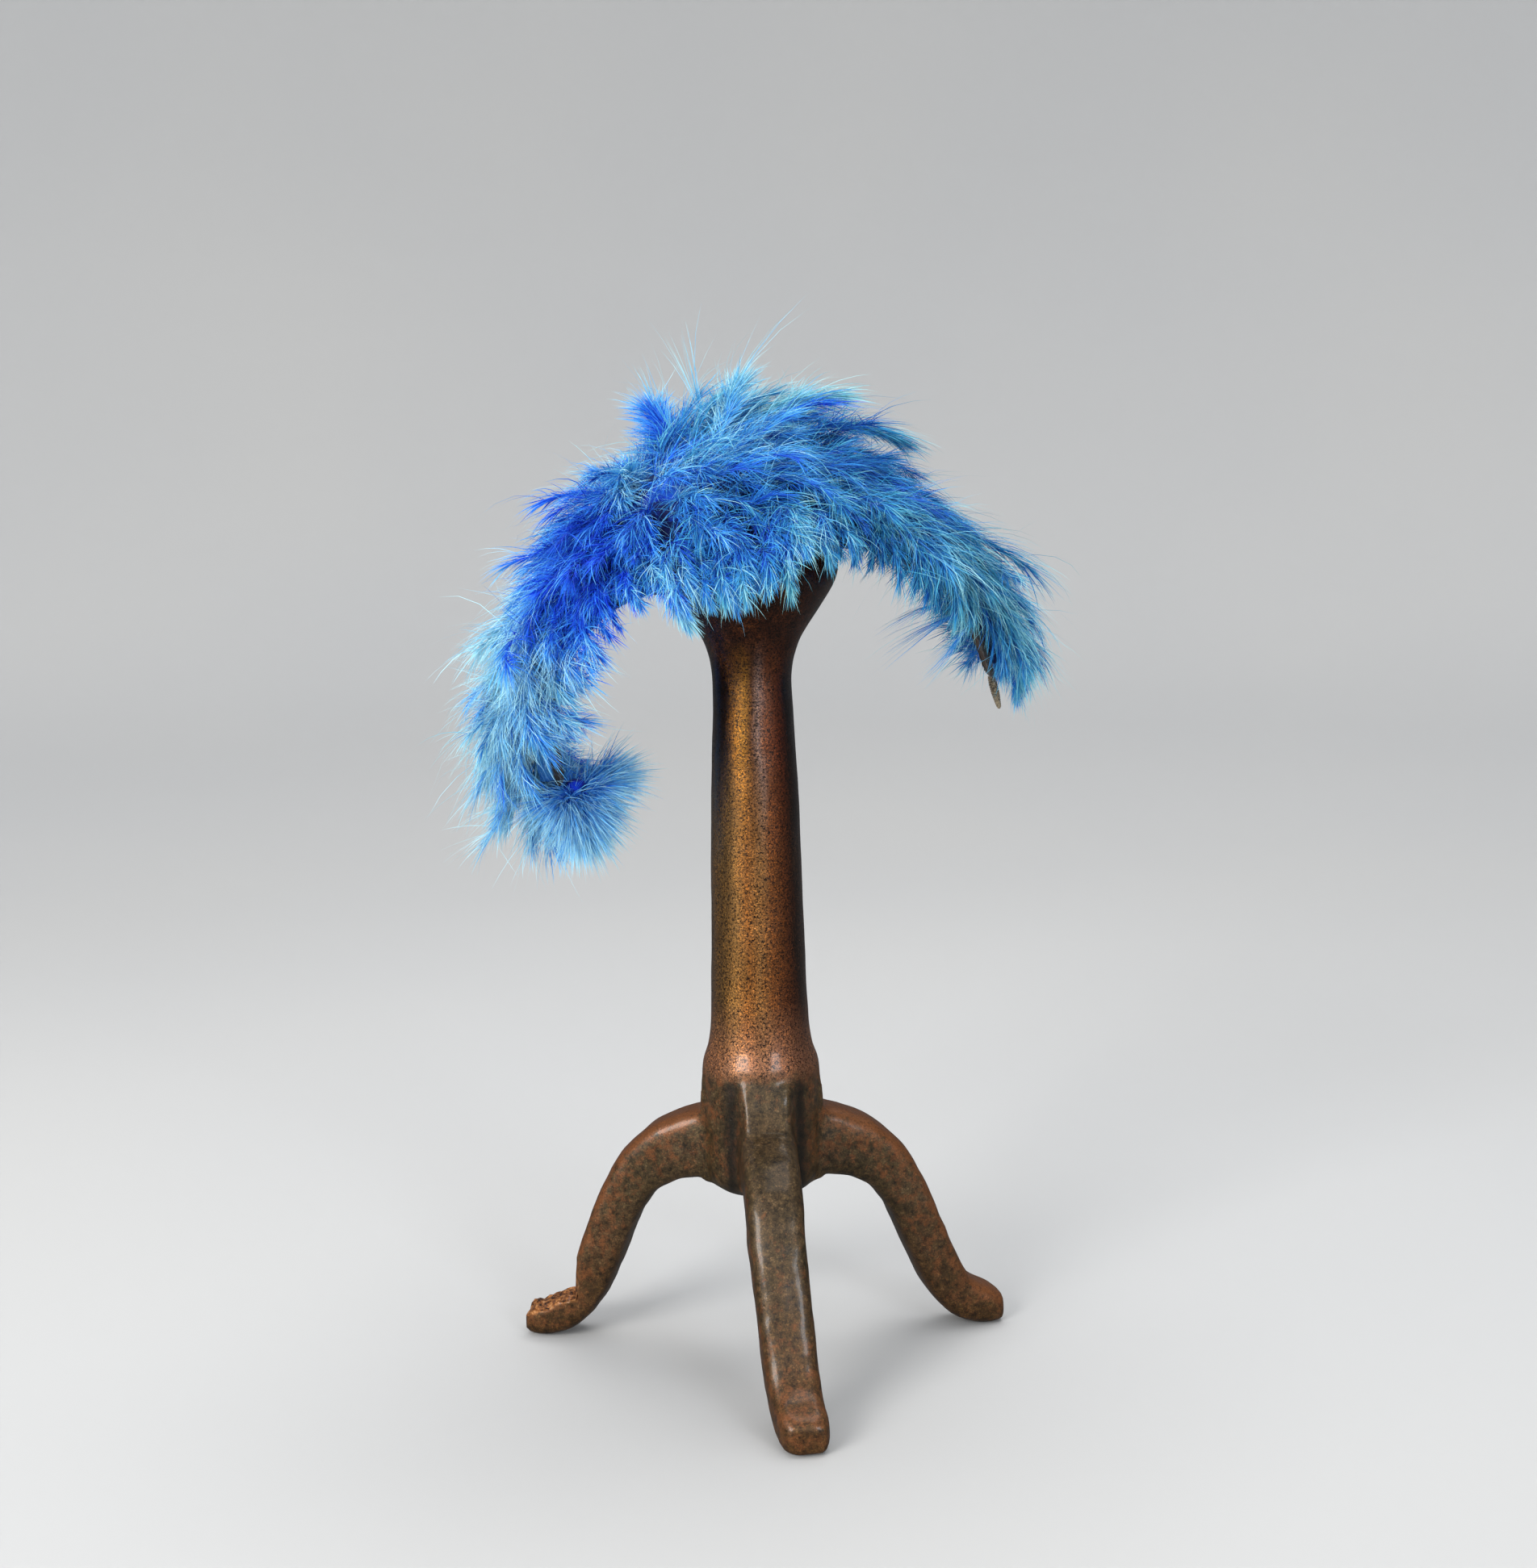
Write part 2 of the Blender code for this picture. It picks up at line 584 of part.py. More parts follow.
def build_end_tuft(material, draw):
    """The tuft under the left end: a small round head whose locks curl down and inwards."""
    middle, forward, backward, normal = tuft_head()
    poles = [middle - forward * TUFT_RADIUS * side for side in (-1, 1)]
    vertices = []
    for band in range(1, TUFT_BANDS):
        fall = math.pi * band / TUFT_BANDS
        for side in range(TUFT_SIDES):
            turn = 2 * math.pi * side / TUFT_SIDES
            ring = math.sin(fall) * (math.cos(turn) * normal + math.sin(turn) * backward)
            vertices.append(middle + TUFT_RADIUS * (math.cos(fall) * forward + ring))
    vertices += poles
    last = (TUFT_BANDS - 2) * TUFT_SIDES
    near, far = len(vertices) - 2, len(vertices) - 1
    faces = []
    grown = []
    for side in range(TUFT_SIDES):
        after = (side + 1) % TUFT_SIDES
        faces.append((near, side, after))
        faces.append((far, last + after, last + side))
        for band in range(TUFT_BANDS - 2):
            row = band * TUFT_SIDES
            quad = (row + side, row + TUFT_SIDES + side, row + TUFT_SIDES + after, row + after)
            centre = np.mean([vertices[corner] for corner in quad], 0) - middle
            bare = (centre @ normal > TUFT_BARE_ABOVE * TUFT_RADIUS
                    or centre @ forward > TUFT_BARE_INSIDE * TUFT_RADIUS)
            if bare:
                faces.append(quad)
            else:
                grown.append((quad, centre))
    for quad, centre in grown:
        length = draw.uniform(*TUFT_LENGTHS)
        spread = centre / np.linalg.norm(centre)
        waist, tip = ((spread * way["spread"] - normal * way["under"] - forward * way["return"]) * length
                      for way in (TUFT_WAIST, TUFT_TIP))
        grow_lock(vertices, faces, quad, waist, tip, (TUFT_WAIST_WIDTH, TUFT_TIP_WIDTH))
    return mesh_object("end_tuft", place_hat(vertices), faces, material, smooth=False)


def centre_model(items):
    """Move everything sideways so that the origin is below the middle of the bounding box."""
    points = np.concatenate([np.array([item.matrix_world @ vertex.co for vertex in item.data.vertices])
                             for item in items])
    middle = (points.min(0) + points.max(0)) / 2
    for item in items:
        for vertex in item.data.vertices:
            vertex.co.x -= middle[0]
            vertex.co.y -= middle[1]
        item.data.update()


def main():
    clear_scene()
    iron, velvet, cover, wrap, royal, sky, teal = (principled(name) for name in FINISHES)
    draw = random.Random(FEATHER_SEED)
    seam = math.degrees(SEAM / 2 / HEAD_HEIGHT)
    crown = (-CROWN_SPAN + seam, CROWN_SPAN - seam)
    left_arm = (-FRAME_SPAN - PAD_END, -CROWN_SPAN - seam)
    right_arm = (CROWN_SPAN + seam, FRAME_SPAN + PAD_END)
    front_row = (0.0, ROW_JOINTS[0] - ROW_SEAM)
    middle_row = (ROW_JOINTS[0] + ROW_SEAM, ROW_JOINTS[1] - ROW_SEAM)
    back_row = (ROW_JOINTS[1] + ROW_SEAM, 1.0)
    whole = (0.0, 1.0)
    items = [
        build_stand(iron),
        build_frame(velvet),
        build_binding(cover),
        build_tip(wrap),
        build_feathers("front_feathers", crown, front_row, ("front",), royal, draw),
        build_feathers("middle_feathers", crown, middle_row, (), sky, draw),
        build_feathers("back_feathers", crown, back_row, ("back",), sky, draw),
        build_feathers("left_arm_feathers", left_arm, whole, ("front", "back", "start"), royal, draw),
        build_feathers("right_arm_feathers", right_arm, whole, ("front", "back", "end"), teal, draw),
        build_end_tuft(royal, draw),
    ]
    centre_model(items)


main()
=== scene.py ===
"""Half hat of dyed marabou on a velvet-covered frame, laid over a cast iron stand.

The finished meshes are in metres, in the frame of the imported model: +Z up, front towards -Y.
Shapes are worked out in millimetres and angles in degrees, unless a line says otherwise.
"""
import math

import bpy
import numpy as np
from mathutils import Matrix, Vector


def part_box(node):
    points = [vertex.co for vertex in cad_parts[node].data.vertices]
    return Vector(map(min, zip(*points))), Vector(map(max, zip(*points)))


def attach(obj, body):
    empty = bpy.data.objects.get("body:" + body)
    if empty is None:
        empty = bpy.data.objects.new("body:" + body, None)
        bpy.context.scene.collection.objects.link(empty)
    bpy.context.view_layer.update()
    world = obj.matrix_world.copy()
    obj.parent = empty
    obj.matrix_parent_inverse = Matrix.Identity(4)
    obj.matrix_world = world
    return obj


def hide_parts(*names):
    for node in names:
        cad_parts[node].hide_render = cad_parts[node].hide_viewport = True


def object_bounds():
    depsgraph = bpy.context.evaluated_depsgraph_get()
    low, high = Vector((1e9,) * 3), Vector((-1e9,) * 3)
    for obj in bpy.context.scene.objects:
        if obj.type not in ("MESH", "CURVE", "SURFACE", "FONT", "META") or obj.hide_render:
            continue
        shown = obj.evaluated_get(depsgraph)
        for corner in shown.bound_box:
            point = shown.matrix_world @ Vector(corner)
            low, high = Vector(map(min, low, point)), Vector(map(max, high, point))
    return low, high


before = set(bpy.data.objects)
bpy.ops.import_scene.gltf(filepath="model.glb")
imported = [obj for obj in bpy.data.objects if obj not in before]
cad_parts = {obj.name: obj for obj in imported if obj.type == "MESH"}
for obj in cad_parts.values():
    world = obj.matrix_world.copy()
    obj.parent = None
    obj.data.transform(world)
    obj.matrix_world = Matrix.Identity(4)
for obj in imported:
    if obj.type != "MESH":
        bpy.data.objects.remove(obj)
cad_low, cad_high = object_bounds()

# The cast iron stand. One casting: a round column with a flared head, a hub with three raised pads, and
# three bar legs that turn down to flat toes. It stands on its toes, and nothing is fixed to it.
# Browned and lacquered above the hub, with painted reflections and painted shade in upright bands across the column;
# left rough and greyer on the hub and legs, with a band of painted shade beside the front pad, and with one toe
# broken.
MM = 0.001
COLUMN = np.array([  # radius, height
    (12, 61.5), (17.5, 63), (20.6, 66.5), (21.6, 72), (21.9, 104), (21.7, 110.5), (19.4, 116),
    (18.3, 123), (17.6, 137), (17, 168), (16.2, 205), (15.6, 221), (14.7, 240), (14.3, 252),
    (15.2, 259), (17.6, 266), (21.8, 272.5), (26.6, 279.6), (30, 285), (31.6, 289), (32, 294),
    (31.3, 299), (28.8, 303.2), (25, 305), (0, 305)])
LEG = np.array([  # reach from the axis, mid height, depth, width, slope of the section
    (4, 79.5, 27, 21.5, 0), (23, 79, 26.5, 21, 8), (36, 75, 23, 20.6, 25),
    (47.3, 66.6, 19.5, 20.2, 48), (55.2, 53.5, 17.4, 19.8, 64), (62, 36.5, 16.8, 19.4, 67),
    (68.4, 21.5, 16.4, 19, 62), (75, 12.2, 15.6, 18.4, 42), (82.5, 8.2, 16.4, 17.6, 0),
    (91.2, 6.4, 12.8, 16.6, 0), (93.2, 5.8, 9.4, 12.6, 0)])
LEG_TURNS = ((-101.5, 0.0), (5.0, 5.6), (103.0, 0.0))  # turn from the front, sideways bend of the toe
LEG_POWER = 4.0  # of the superellipse that a leg's section is
BEND_START = 52.0
BREAK_START, BREAK_TOP, BREAK_SLOPE = 71.5, 16.0, 0.32  # broken toe: its reach, height there and fall for each mm
PAD = np.array([(4, 65), (20.6, 65), (21.4, 70), (21.6, 96), (20.2, 107.5), (4, 107.5)])
PAD_HALF_WIDTH = 9.8
SHADE_BAND_OFFSET, SHADE_BAND_WIDTH = 12.6, 2.3  # painted shade where a hollow beside the front pad would be, from the leg's middle
FAIRING = np.array([(12, 84), (30.5, 86), (28.6, 91.5), (24.8, 98), (22, 105.5), (12, 107.5)])
FAIRING_HALF_WIDTH = 8.6
CASTING_VOXEL = 1.4
CASTING_SMOOTHING = 3


def put_mesh(name, points, faces, material=None):
    """A mesh object at the origin from points in millimetres and a list of face index arrays."""
    mesh = bpy.data.meshes.new(name)
    corners = np.concatenate([np.asarray(part).reshape(-1) for part in faces]).astype(np.int32)
    sizes = np.concatenate([np.full(len(part), np.asarray(part).shape[1]) for part in faces])
    mesh.vertices.add(len(points))
    mesh.vertices.foreach_set("co", (np.asarray(points, float) * MM).astype(np.float32).ravel())
    mesh.loops.add(len(corners))
    mesh.loops.foreach_set("vertex_index", corners)
    mesh.polygons.add(len(sizes))
    mesh.polygons.foreach_set("loop_start", np.concatenate([[0], np.cumsum(sizes)[:-1]]).astype(np.int32))
    mesh.polygons.foreach_set("use_smooth", np.full(len(sizes), True))
    mesh.update(calc_edges=True)
    mesh.validate()
    if material:
        mesh.materials.append(material)
    item = bpy.data.objects.new(name, mesh)
    bpy.context.scene.collection.objects.link(item)
    return item


def grid_faces(rows, columns, wrap_rows=False, wrap_columns=False):
    """Quads between neighbouring points of a grid that is stored row by row."""
    row, column = np.meshgrid(np.arange(rows - (not wrap_rows)), np.arange(columns - (not wrap_columns)),
                              indexing="ij")
    below, beside = (row + 1) % rows, (column + 1) % columns
    return np.stack([row * columns + column, row * columns + beside, below * columns + beside,
                     below * columns + column], -1).reshape(-1, 4)


def resample(rows, step, passes=0):
    """A table's rows taken again at even steps along the line of its first two columns.

    Each pass replaces every inner row by a quarter of both its neighbours and half of itself.
    """
    rows = np.asarray(rows, float)
    run = np.concatenate([[0], np.cumsum(np.hypot(*np.diff(rows[:, :2], axis=0).T))])
    at = np.linspace(0, run[-1], max(3, int(run[-1] / step)))
    even = np.stack([np.interp(at, run, column) for column in rows.T], 1)
    for _ in range(passes):
        even[1:-1] = 0.25 * even[:-2] + 0.5 * even[1:-1] + 0.25 * even[2:]
    return even


def unit(vectors):
    """Vectors brought to length one."""
    return vectors / np.maximum(np.linalg.norm(vectors, axis=-1, keepdims=True), 1e-9)


def grain(points, size, seed):
    """Value noise: random numbers from -1 to 1 at the corners of a cubic lattice, smoothly mixed between."""
    place = np.asarray(points) / size
    cell = np.floor(place).astype(np.int64)
    part = place - cell
    part = part * part * (3 - 2 * part)
    table = np.random.default_rng(seed).uniform(-1, 1, 4096)
    total = np.zeros(place.shape[:-1])
    for corner in np.ndindex(2, 2, 2):
        at = cell + np.array(corner)
        key = (at[..., 0] * 73856093 ^ at[..., 1] * 19349663 ^ at[..., 2] * 83492791) & 4095
        total += np.prod(np.where(corner, part, 1 - part), axis=-1) * table[key]
    return total


def closed(rings, ends=None):
    """Points and faces of a tube of closed rings with a fan to a point at each end: the first and last ring's
    middles, unless they are given. The two points come last."""
    rows, columns = rings.shape[:2]
    first, last = np.arange(columns), (rows - 1) * columns + np.arange(columns)
    points = np.concatenate([rings.reshape(-1, 3), rings[[0, -1]].mean(1) if ends is None else ends])
    return points, [grid_faces(rows, columns, wrap_columns=True),
                    np.stack([np.full(columns, rows * columns), np.roll(first, -1), first], 1),
                    np.stack([np.full(columns, rows * columns + 1), last, np.roll(last, -1)], 1)]


def vectors(mesh, key):
    """The place or normal of every point of a mesh."""
    values = np.empty(len(mesh.vertices) * 3, np.float32)
    mesh.vertices.foreach_get(key, values)
    return values.reshape(-1, 3).astype(float)


def stand_axis():
    """Where the column's axis stands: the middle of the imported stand's flat top."""
    points = vectors(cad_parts["stand"].data, "co") / MM
    top = points[points[:, 2] > COLUMN[-1, 1] - 0.5]
    return np.append((top.min(0) + top.max(0))[:2] / 2, 0.0)


def lathed(rows):
    """A profile carried round the axis in steps of 5 degrees: its radius by cosine and sine, and its height."""
    turn = np.radians(np.arange(0, 360, 5))
    return np.stack(np.broadcast_arrays(rows[:, :1] * np.cos(turn), rows[:, :1] * np.sin(turn), rows[:, 1:]), -1)


def column_mesh():
    """The round part of the casting, closed at both ends."""
    rows = resample(COLUMN, 1.5, 2)
    return closed(lathed(rows), [(0, 0, rows[0, 1]), (0, 0, rows[-1, 1])])


def leg_directions(azimuth):
    """Outward and sideways, level, for a leg turned from the front about the axis."""
    turn = math.radians(azimuth)
    return np.array([math.sin(turn), -math.cos(turn), 0.0]), np.array([math.cos(turn), math.sin(turn), 0.0])


def leg_mesh(azimuth, toe_bend):
    """A bar along its line of sections: each ring is a superellipse, leaned by its slope."""
    outward, sideways = leg_directions(azimuth)
    rows = resample(LEG, 2.0, 3)
    reach, height, depth, width, slope = rows.T[:, :, None]
    lean = np.radians(slope)
    turn = np.radians(np.arange(0, 360, 10))
    across = np.sign(np.cos(turn)) * np.abs(np.cos(turn)) ** (2 / LEG_POWER) * width / 2
    over = np.sign(np.sin(turn)) * np.abs(np.sin(turn)) ** (2 / LEG_POWER) * depth / 2
    bend = toe_bend * np.clip(reach - BEND_START, 0, None) / (LEG[-1, 0] - BEND_START)
    out = reach + over * np.sin(lean)
    return closed(out[..., None] * outward + (across + bend)[..., None] * sideways
                  + (height + over * np.cos(lean))[..., None] * np.array([0, 0, 1.0]))


def pad_mesh(azimuth, outline, half_width):
    """A flat-sided piece of the casting behind a leg: its side outline carried across its width."""
    outward, sideways = leg_directions(azimuth)
    side = (outline[:, :1] * outward + outline[:, 1:] * np.array([0, 0, 1.0]))
    return closed(np.stack([side - sideways * half_width, side + sideways * half_width]))


def join(parts):
    """Several (points, faces) as one."""
    points, faces, first = [], [], 0
    for some, lists in parts:
        points.append(some)
        faces += [np.asarray(part) + first for part in lists]
        first += len(some)
    return np.concatenate(points), faces


def store(mesh, **values):
    """Numbers kept on a mesh's points, for its material."""
    for key, value in values.items():
        mesh.attributes.new(key, "FLOAT", "POINT").data.foreach_set("value", value.astype(np.float32))


def rise(value, start, over):
    """0 up to a start, then evenly up to 1 over a length."""
    return np.clip((value - start) / over, 0, 1)


class Finish:
    """A Principled material put together from procedural nodes; sizes of patterns are in millimetres."""

    def __init__(self, name, **values):
        self.material = bpy.data.materials.new(name)
        self.material.use_nodes = True
        self.nodes, self.links = self.material.node_tree.nodes, self.material.node_tree.links
        self.shader = self.nodes["Principled BSDF"]
        for key, value in values.items():
            self.shader.inputs[key.replace("_", " ")].default_value = value
        self.place = self.nodes.new("ShaderNodeTexCoord").outputs["Object"]

    def put(self, target, value):
        """Join a socket to another's output, or set it."""
        if isinstance(value, bpy.types.NodeSocket):
            self.links.new(value, target)
        else:
            target.default_value = value

    def node(self, kind, result, inputs, **settings):
        """One output of a new node, after its settings and inputs are made."""
        made = self.nodes.new("ShaderNode" + kind)
        for key, value in settings.items():
            setattr(made, key, value)
        for key, value in inputs.items():
            self.put(made.inputs[key], value)
        return made.outputs[result]

    def stretch(self, scale):
        """Coordinates multiplied by a scale for each axis."""
        return self.node("Mapping", "Vector", {"Vector": self.place, "Scale": scale})

    def noise(self, size, detail=4.0, rough=0.55, place=None):
        """Cloudy noise whose lumps have about this size."""
        return self.node("TexNoise", "Fac", {"Vector": place or self.place, "Scale": 1 / (size * MM),
                                             "Detail": detail, "Roughness": rough})

    def cells(self, size):
        """Distance from the middle of scattered cells of this size."""
        return self.node("TexVoronoi", "Distance", {"Vector": self.place, "Scale": 1 / (size * MM)})

    def attribute(self, name):
        """A number stored on the mesh."""
        return self.node("Attribute", "Fac", {}, attribute_name=name)

    def axis(self, name):
        """One coordinate of the place, in metres."""
        return self.node("SeparateXYZ", name, {0: self.place})

    def ramp(self, value, *stops):
        """Colours at steps of a value."""
        colour = self.node("ValToRGB", "Color", {"Fac": value})
        elements = colour.node.color_ramp.elements
        while len(elements) < len(stops):
            elements.new(1.0)
        for element, (position, shade) in zip(elements, stops):
            element.position, element.color = position, (*shade, 1.0)
        return colour

    def between(self, value, low, high, start=0.0, end=1.0):
        """A value's range from low to high brought to start to end, and held there."""
        return self.node("MapRange", "Result", {"Value": value, "From Min": low, "From Max": high, "To Min": start,
                                                "To Max": end})

    def sum(self, kind, first, second):
        """Arithmetic on two values."""
        return self.node("Math", 0, {0: first, 1: second}, operation=kind)

    def mix(self, share, first, second, kind="MIX"):
        """Two colours mixed by a share."""
        first, second = ((*colour, 1.0) if isinstance(colour, tuple) else colour for colour in (first, second))
        return self.node("Mix", 2, {0: share, 6: first, 7: second}, data_type="RGBA", blend_type=kind)

    def bump(self, height, depth, strength=1.0, after=None):
        """Relief of this depth in millimetres, on top of any that is there."""
        inputs = {"Strength": strength, "Distance": depth * MM, "Height": height}
        if after:
            inputs["Normal"] = after
        return self.node("Bump", "Normal", inputs)

    def set(self, name, value):
        """Join a value to the shader."""
        self.put(self.shader.inputs[name], value)


def cast_iron():
    """Browned, lacquered iron above, in upright bands fixed across the column that mix patina with painted light:
    near-black painted shade at both sides, a gold painted highlight and a grey painted reflection, red-brown between,
    broken up by fine golden and black grain. Bare below: olive brown, rusty where it faces up, raw where it broke,
    with a band of painted shade beside the front pad."""
    finish = Finish("browned cast iron", Coat_Weight=0.32, Coat_Roughness=0.17)
    mix, between, noise, ramp = finish.mix, finish.between, finish.noise, finish.ramp
    height = finish.sum("ADD", finish.axis("Z"), finish.sum("MULTIPLY", noise(7.0), 0.007))
    low = between(height, 0.1145, 0.1095)
    drawn = finish.stretch((1.0, 1.0, 0.22))
    clouds = noise(9.0, 6.0, 0.62, place=drawn)
    # Place across the column from the front, 0 at the left side and 1 at the right: the bands below paint reflections
    # and shade by it.
    turned = finish.sum("ADD", finish.attribute("turned"), between(clouds, 0.3, 0.7, -0.055, 0.055))
    # Upper column, patina mixed with painted light: near-black painted shade at the left side, a gold painted
    # highlight left of the middle, a grey-violet painted reflection right of it, red-brown, then near-black painted
    # shade and a bluish painted rim at the right.
    upper_patina_and_painted_light = ramp(turned, (0.0, (0.03, 0.018, 0.014)), (0.06, (0.014, 0.007, 0.003)),
                 (0.19, (0.018, 0.008, 0.003)), (0.27, (0.15, 0.06, 0.007)), (0.38, (0.27, 0.118, 0.01)),
                 (0.48, (0.11, 0.043, 0.015)), (0.58, (0.18, 0.115, 0.105)), (0.66, (0.13, 0.038, 0.012)),
                 (0.8, (0.1, 0.022, 0.008)), (0.9, (0.014, 0.007, 0.006)), (1.0, (0.03, 0.024, 0.03)))
    # Lower column, the same way: a gold painted highlight left of the middle, browns, then near-black painted shade
    # at the right side.
    lower_patina_and_painted_light = ramp(turned, (0.0, (0.1, 0.06, 0.034)), (0.14, (0.11, 0.06, 0.02)),
                 (0.26, (0.3, 0.15, 0.042)), (0.4, (0.26, 0.098, 0.02)), (0.54, (0.26, 0.125, 0.042)),
                 (0.66, (0.17, 0.056, 0.012)), (0.84, (0.085, 0.026, 0.009)), (0.93, (0.024, 0.011, 0.007)),
                 (1.0, (0.05, 0.028, 0.02)))
    brown = mix(between(height, 0.232, 0.19), upper_patina_and_painted_light, lower_patina_and_painted_light)
    brown = mix(between(height, 0.139, 0.118, 0.0, 0.74), brown, (0.28, 0.125, 0.072))
    head = ramp(noise(12.0, 6.0, 0.62), (0.36, (0.022, 0.007, 0.004)), (0.56, (0.06, 0.018, 0.007)),
                (0.7, (0.16, 0.055, 0.014)))
    brown = mix(between(height, 0.252, 0.27), brown, head)
    patchy = between(clouds, 0.42, 0.62, 0.35, 1.0)
    specks = finish.sum("MULTIPLY", between(noise(0.6, 3.0, 0.8), 0.5, 0.6), patchy)
    brown = mix(specks, brown, mix(1.0, brown, (3.6, 3.1, 2.0), "MULTIPLY"))
    brown = mix(between(noise(0.75, 3.0, 0.8), 0.51, 0.4), brown, (0.006, 0.003, 0.002))
    bare = ramp(noise(2.4, 6.0, 0.76), (0.34, (0.026, 0.017, 0.009)), (0.49, (0.082, 0.05, 0.023)),
                (0.6, (0.135, 0.08, 0.034)), (0.72, (0.23, 0.15, 0.082)))
    worn = between(noise(16.0, 4.0, 0.6), 0.35, 0.65)
    bare = mix(worn, mix(1.0, bare, (0.7, 0.74, 0.64), "MULTIPLY"), bare)
    bare = mix(between(height, 0.06, 0.01), bare, mix(1.0, bare, (1.15, 0.86, 0.6), "MULTIPLY"))
    flecks = between(noise(4.0, 8.0, 0.76), 0.3, 0.7, -0.75, 0.55)
    rusty = finish.sum("ADD", finish.attribute("upward"), flecks)
    bare = mix(between(rusty, -0.18, 0.34, 0.0, 0.9), bare, (0.215, 0.074, 0.022))
    dust = between(noise(0.6, 3.0, 0.8), 0.54, 0.66, 0.0, 0.4)
    bare = mix(dust, bare, mix(1.0, bare, (2.6, 2.4, 2.2), "MULTIPLY"))
    bare = mix(between(noise(0.8, 3.0, 0.8), 0.48, 0.38, 0.0, 0.5), bare, (0.01, 0.009, 0.008))
    # Painted shade: a near-black band on the hub beside the front pad, where a hollow would be in shade; the hollow
    # itself is not modelled.
    bare = mix(finish.sum("MULTIPLY", finish.attribute("groove"), 0.85), bare, (0.011, 0.01, 0.008))
    colour = mix(low, brown, bare)
    rust = finish.attribute("broken")
    raw = ramp(noise(2.2, 6.0, 0.7), (0.4, (0.02, 0.01, 0.007)), (0.48, (0.22, 0.075, 0.022)),
               (0.58, (0.52, 0.21, 0.06)), (0.68, (0.66, 0.4, 0.22)))
    finish.set("Base Color", mix(rust, colour, raw))
    rough = finish.sum("MAXIMUM", low, rust)
    finish.set("Metallic", between(rough, 0.0, 1.0, 0.55, 0.35))
    shine = between(noise(2.4, 5.0, 0.65), 0.35, 0.7, 0.26, 0.4)
    duller = finish.sum("MAXIMUM", rough, between(height, 0.14, 0.118))
    finish.set("Roughness", finish.sum("ADD", shine, finish.sum("MULTIPLY", duller, 0.08)))
    pits = between(finish.cells(3.6), 0.03, 0.16)
    fine = finish.bump(noise(0.6, 4.0, 0.75), 0.18, 0.6)
    finish.set("Normal", finish.bump(pits, 0.2, 0.5, after=fine))
    return finish.material


axis = stand_axis()
parts = [column_mesh()]
for azimuth, toe_bend in LEG_TURNS:
    parts += [leg_mesh(azimuth, toe_bend), pad_mesh(azimuth, PAD, PAD_HALF_WIDTH)]
parts.append(pad_mesh(LEG_TURNS[1][0], FAIRING, FAIRING_HALF_WIDTH))
rough_casting = put_mesh("rough_casting", *join(parts))
remesh = rough_casting.modifiers.new("fuse", "REMESH")
remesh.mode = "VOXEL"
remesh.voxel_size = CASTING_VOXEL * MM
remesh.use_smooth_shade = True
smoothing = rough_casting.modifiers.new("soften", "SMOOTH")
smoothing.iterations = CASTING_SMOOTHING
bpy.context.view_layer.update()
fused = bpy.data.meshes.new_from_object(rough_casting.evaluated_get(bpy.context.evaluated_depsgraph_get()))
bpy.data.objects.remove(rough_casting)
shape, normals = vectors(fused, "co") / MM, vectors(fused, "normal")
past = shape @ leg_directions(LEG_TURNS[0][0])[0] - BREAK_START
break_top = BREAK_TOP - BREAK_SLOPE * past + 1.7 * grain(shape, 4.2, 3) + 0.7 * grain(shape, 1.8, 4)
broken = rise(shape[:, 2], break_top - 1.2, 1.4) * rise(past, -1.5, 3.0)
shape[:, 2] = np.where((past > 0) & (shape[:, 2] > break_top), break_top, shape[:, 2])
rough_low = 1 - rise(shape[:, 2], 100.0, 20.0)
unevenness = 0.16 * grain(shape, 14.0, 5) + (0.06 + 0.16 * rough_low) * grain(shape, 5.0, 6)
shape = shape + normals * (unevenness * rise(shape[:, 2], 0.0, 2.0))[:, None]
shape[:, 2] = np.maximum(shape[:, 2], 0.0)
fused.vertices.foreach_set("co", ((shape + axis) * MM).astype(np.float32).ravel())
# Place across the column seen from the front, for the painted reflections and painted shade of the column's bands.
turned = shape[:, 0] / np.maximum(np.hypot(shape[:, 0], shape[:, 1]), 1.0)
outward, sideways = leg_directions(LEG_TURNS[1][0])
reach, beside = shape @ outward, np.abs(shape @ sideways)
# Painted shade beside the front pad: a band to both sides of the front leg's middle, on the hub only.
groove = (np.exp(-((beside - SHADE_BAND_OFFSET) / SHADE_BAND_WIDTH) ** 2) * rise(reach, 0.0, 4.0)
          * rise(shape[:, 2], 62.0, 3.0) * (1 - rise(shape[:, 2], 105.0, 4.0)))
on_front_leg = rise(reach, 17.0, 3.0) * (beside < 20.0)
upward = normals[:, 2] * (1 - 1.6 * on_front_leg * rise(shape[:, 2], -12.0, 50.0))
store(fused, broken=broken, turned=0.5 + 0.5 * turned, upward=upward, groove=groove)
fused.update()
fused.materials.clear()
fused.materials.append(cast_iron())
stand = bpy.data.objects.new("iron_stand", fused)
bpy.context.scene.collection.objects.link(stand)
fused.shade_smooth()
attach(stand, "root")
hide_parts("stand")

# The frame of the hat. A crescent of buckram, 1.9 mm thick with its cover, blocked to the curve of a head
# and covered in dark brown velvet. Its middle rests on the stand's head, tipped and nodding forward.
HEAD = np.array([82.0, 98.0, 82.0])  # half width, half length and height of the egg it is blocked on
FRAME_WALL = 1.9
FRAME_SPAN = 88.0
HAT_SHIFT = 8.0  # sideways from the column's axis
HAT_ROLL = 13.0  # leaning down to the left
HAT_PITCH = 8.0  # nodding forwards
EDGES = np.array([  # angle from the top of the arch, front edge, back edge
    (0, -37, 21), (12, -34.5, 20.5), (24, -24, 19), (40, -15.5, 15), (58, -10, 10.5),
    (74, -5.5, 7), (88, -1, 4.5), (100, 0.6, 2.8)])


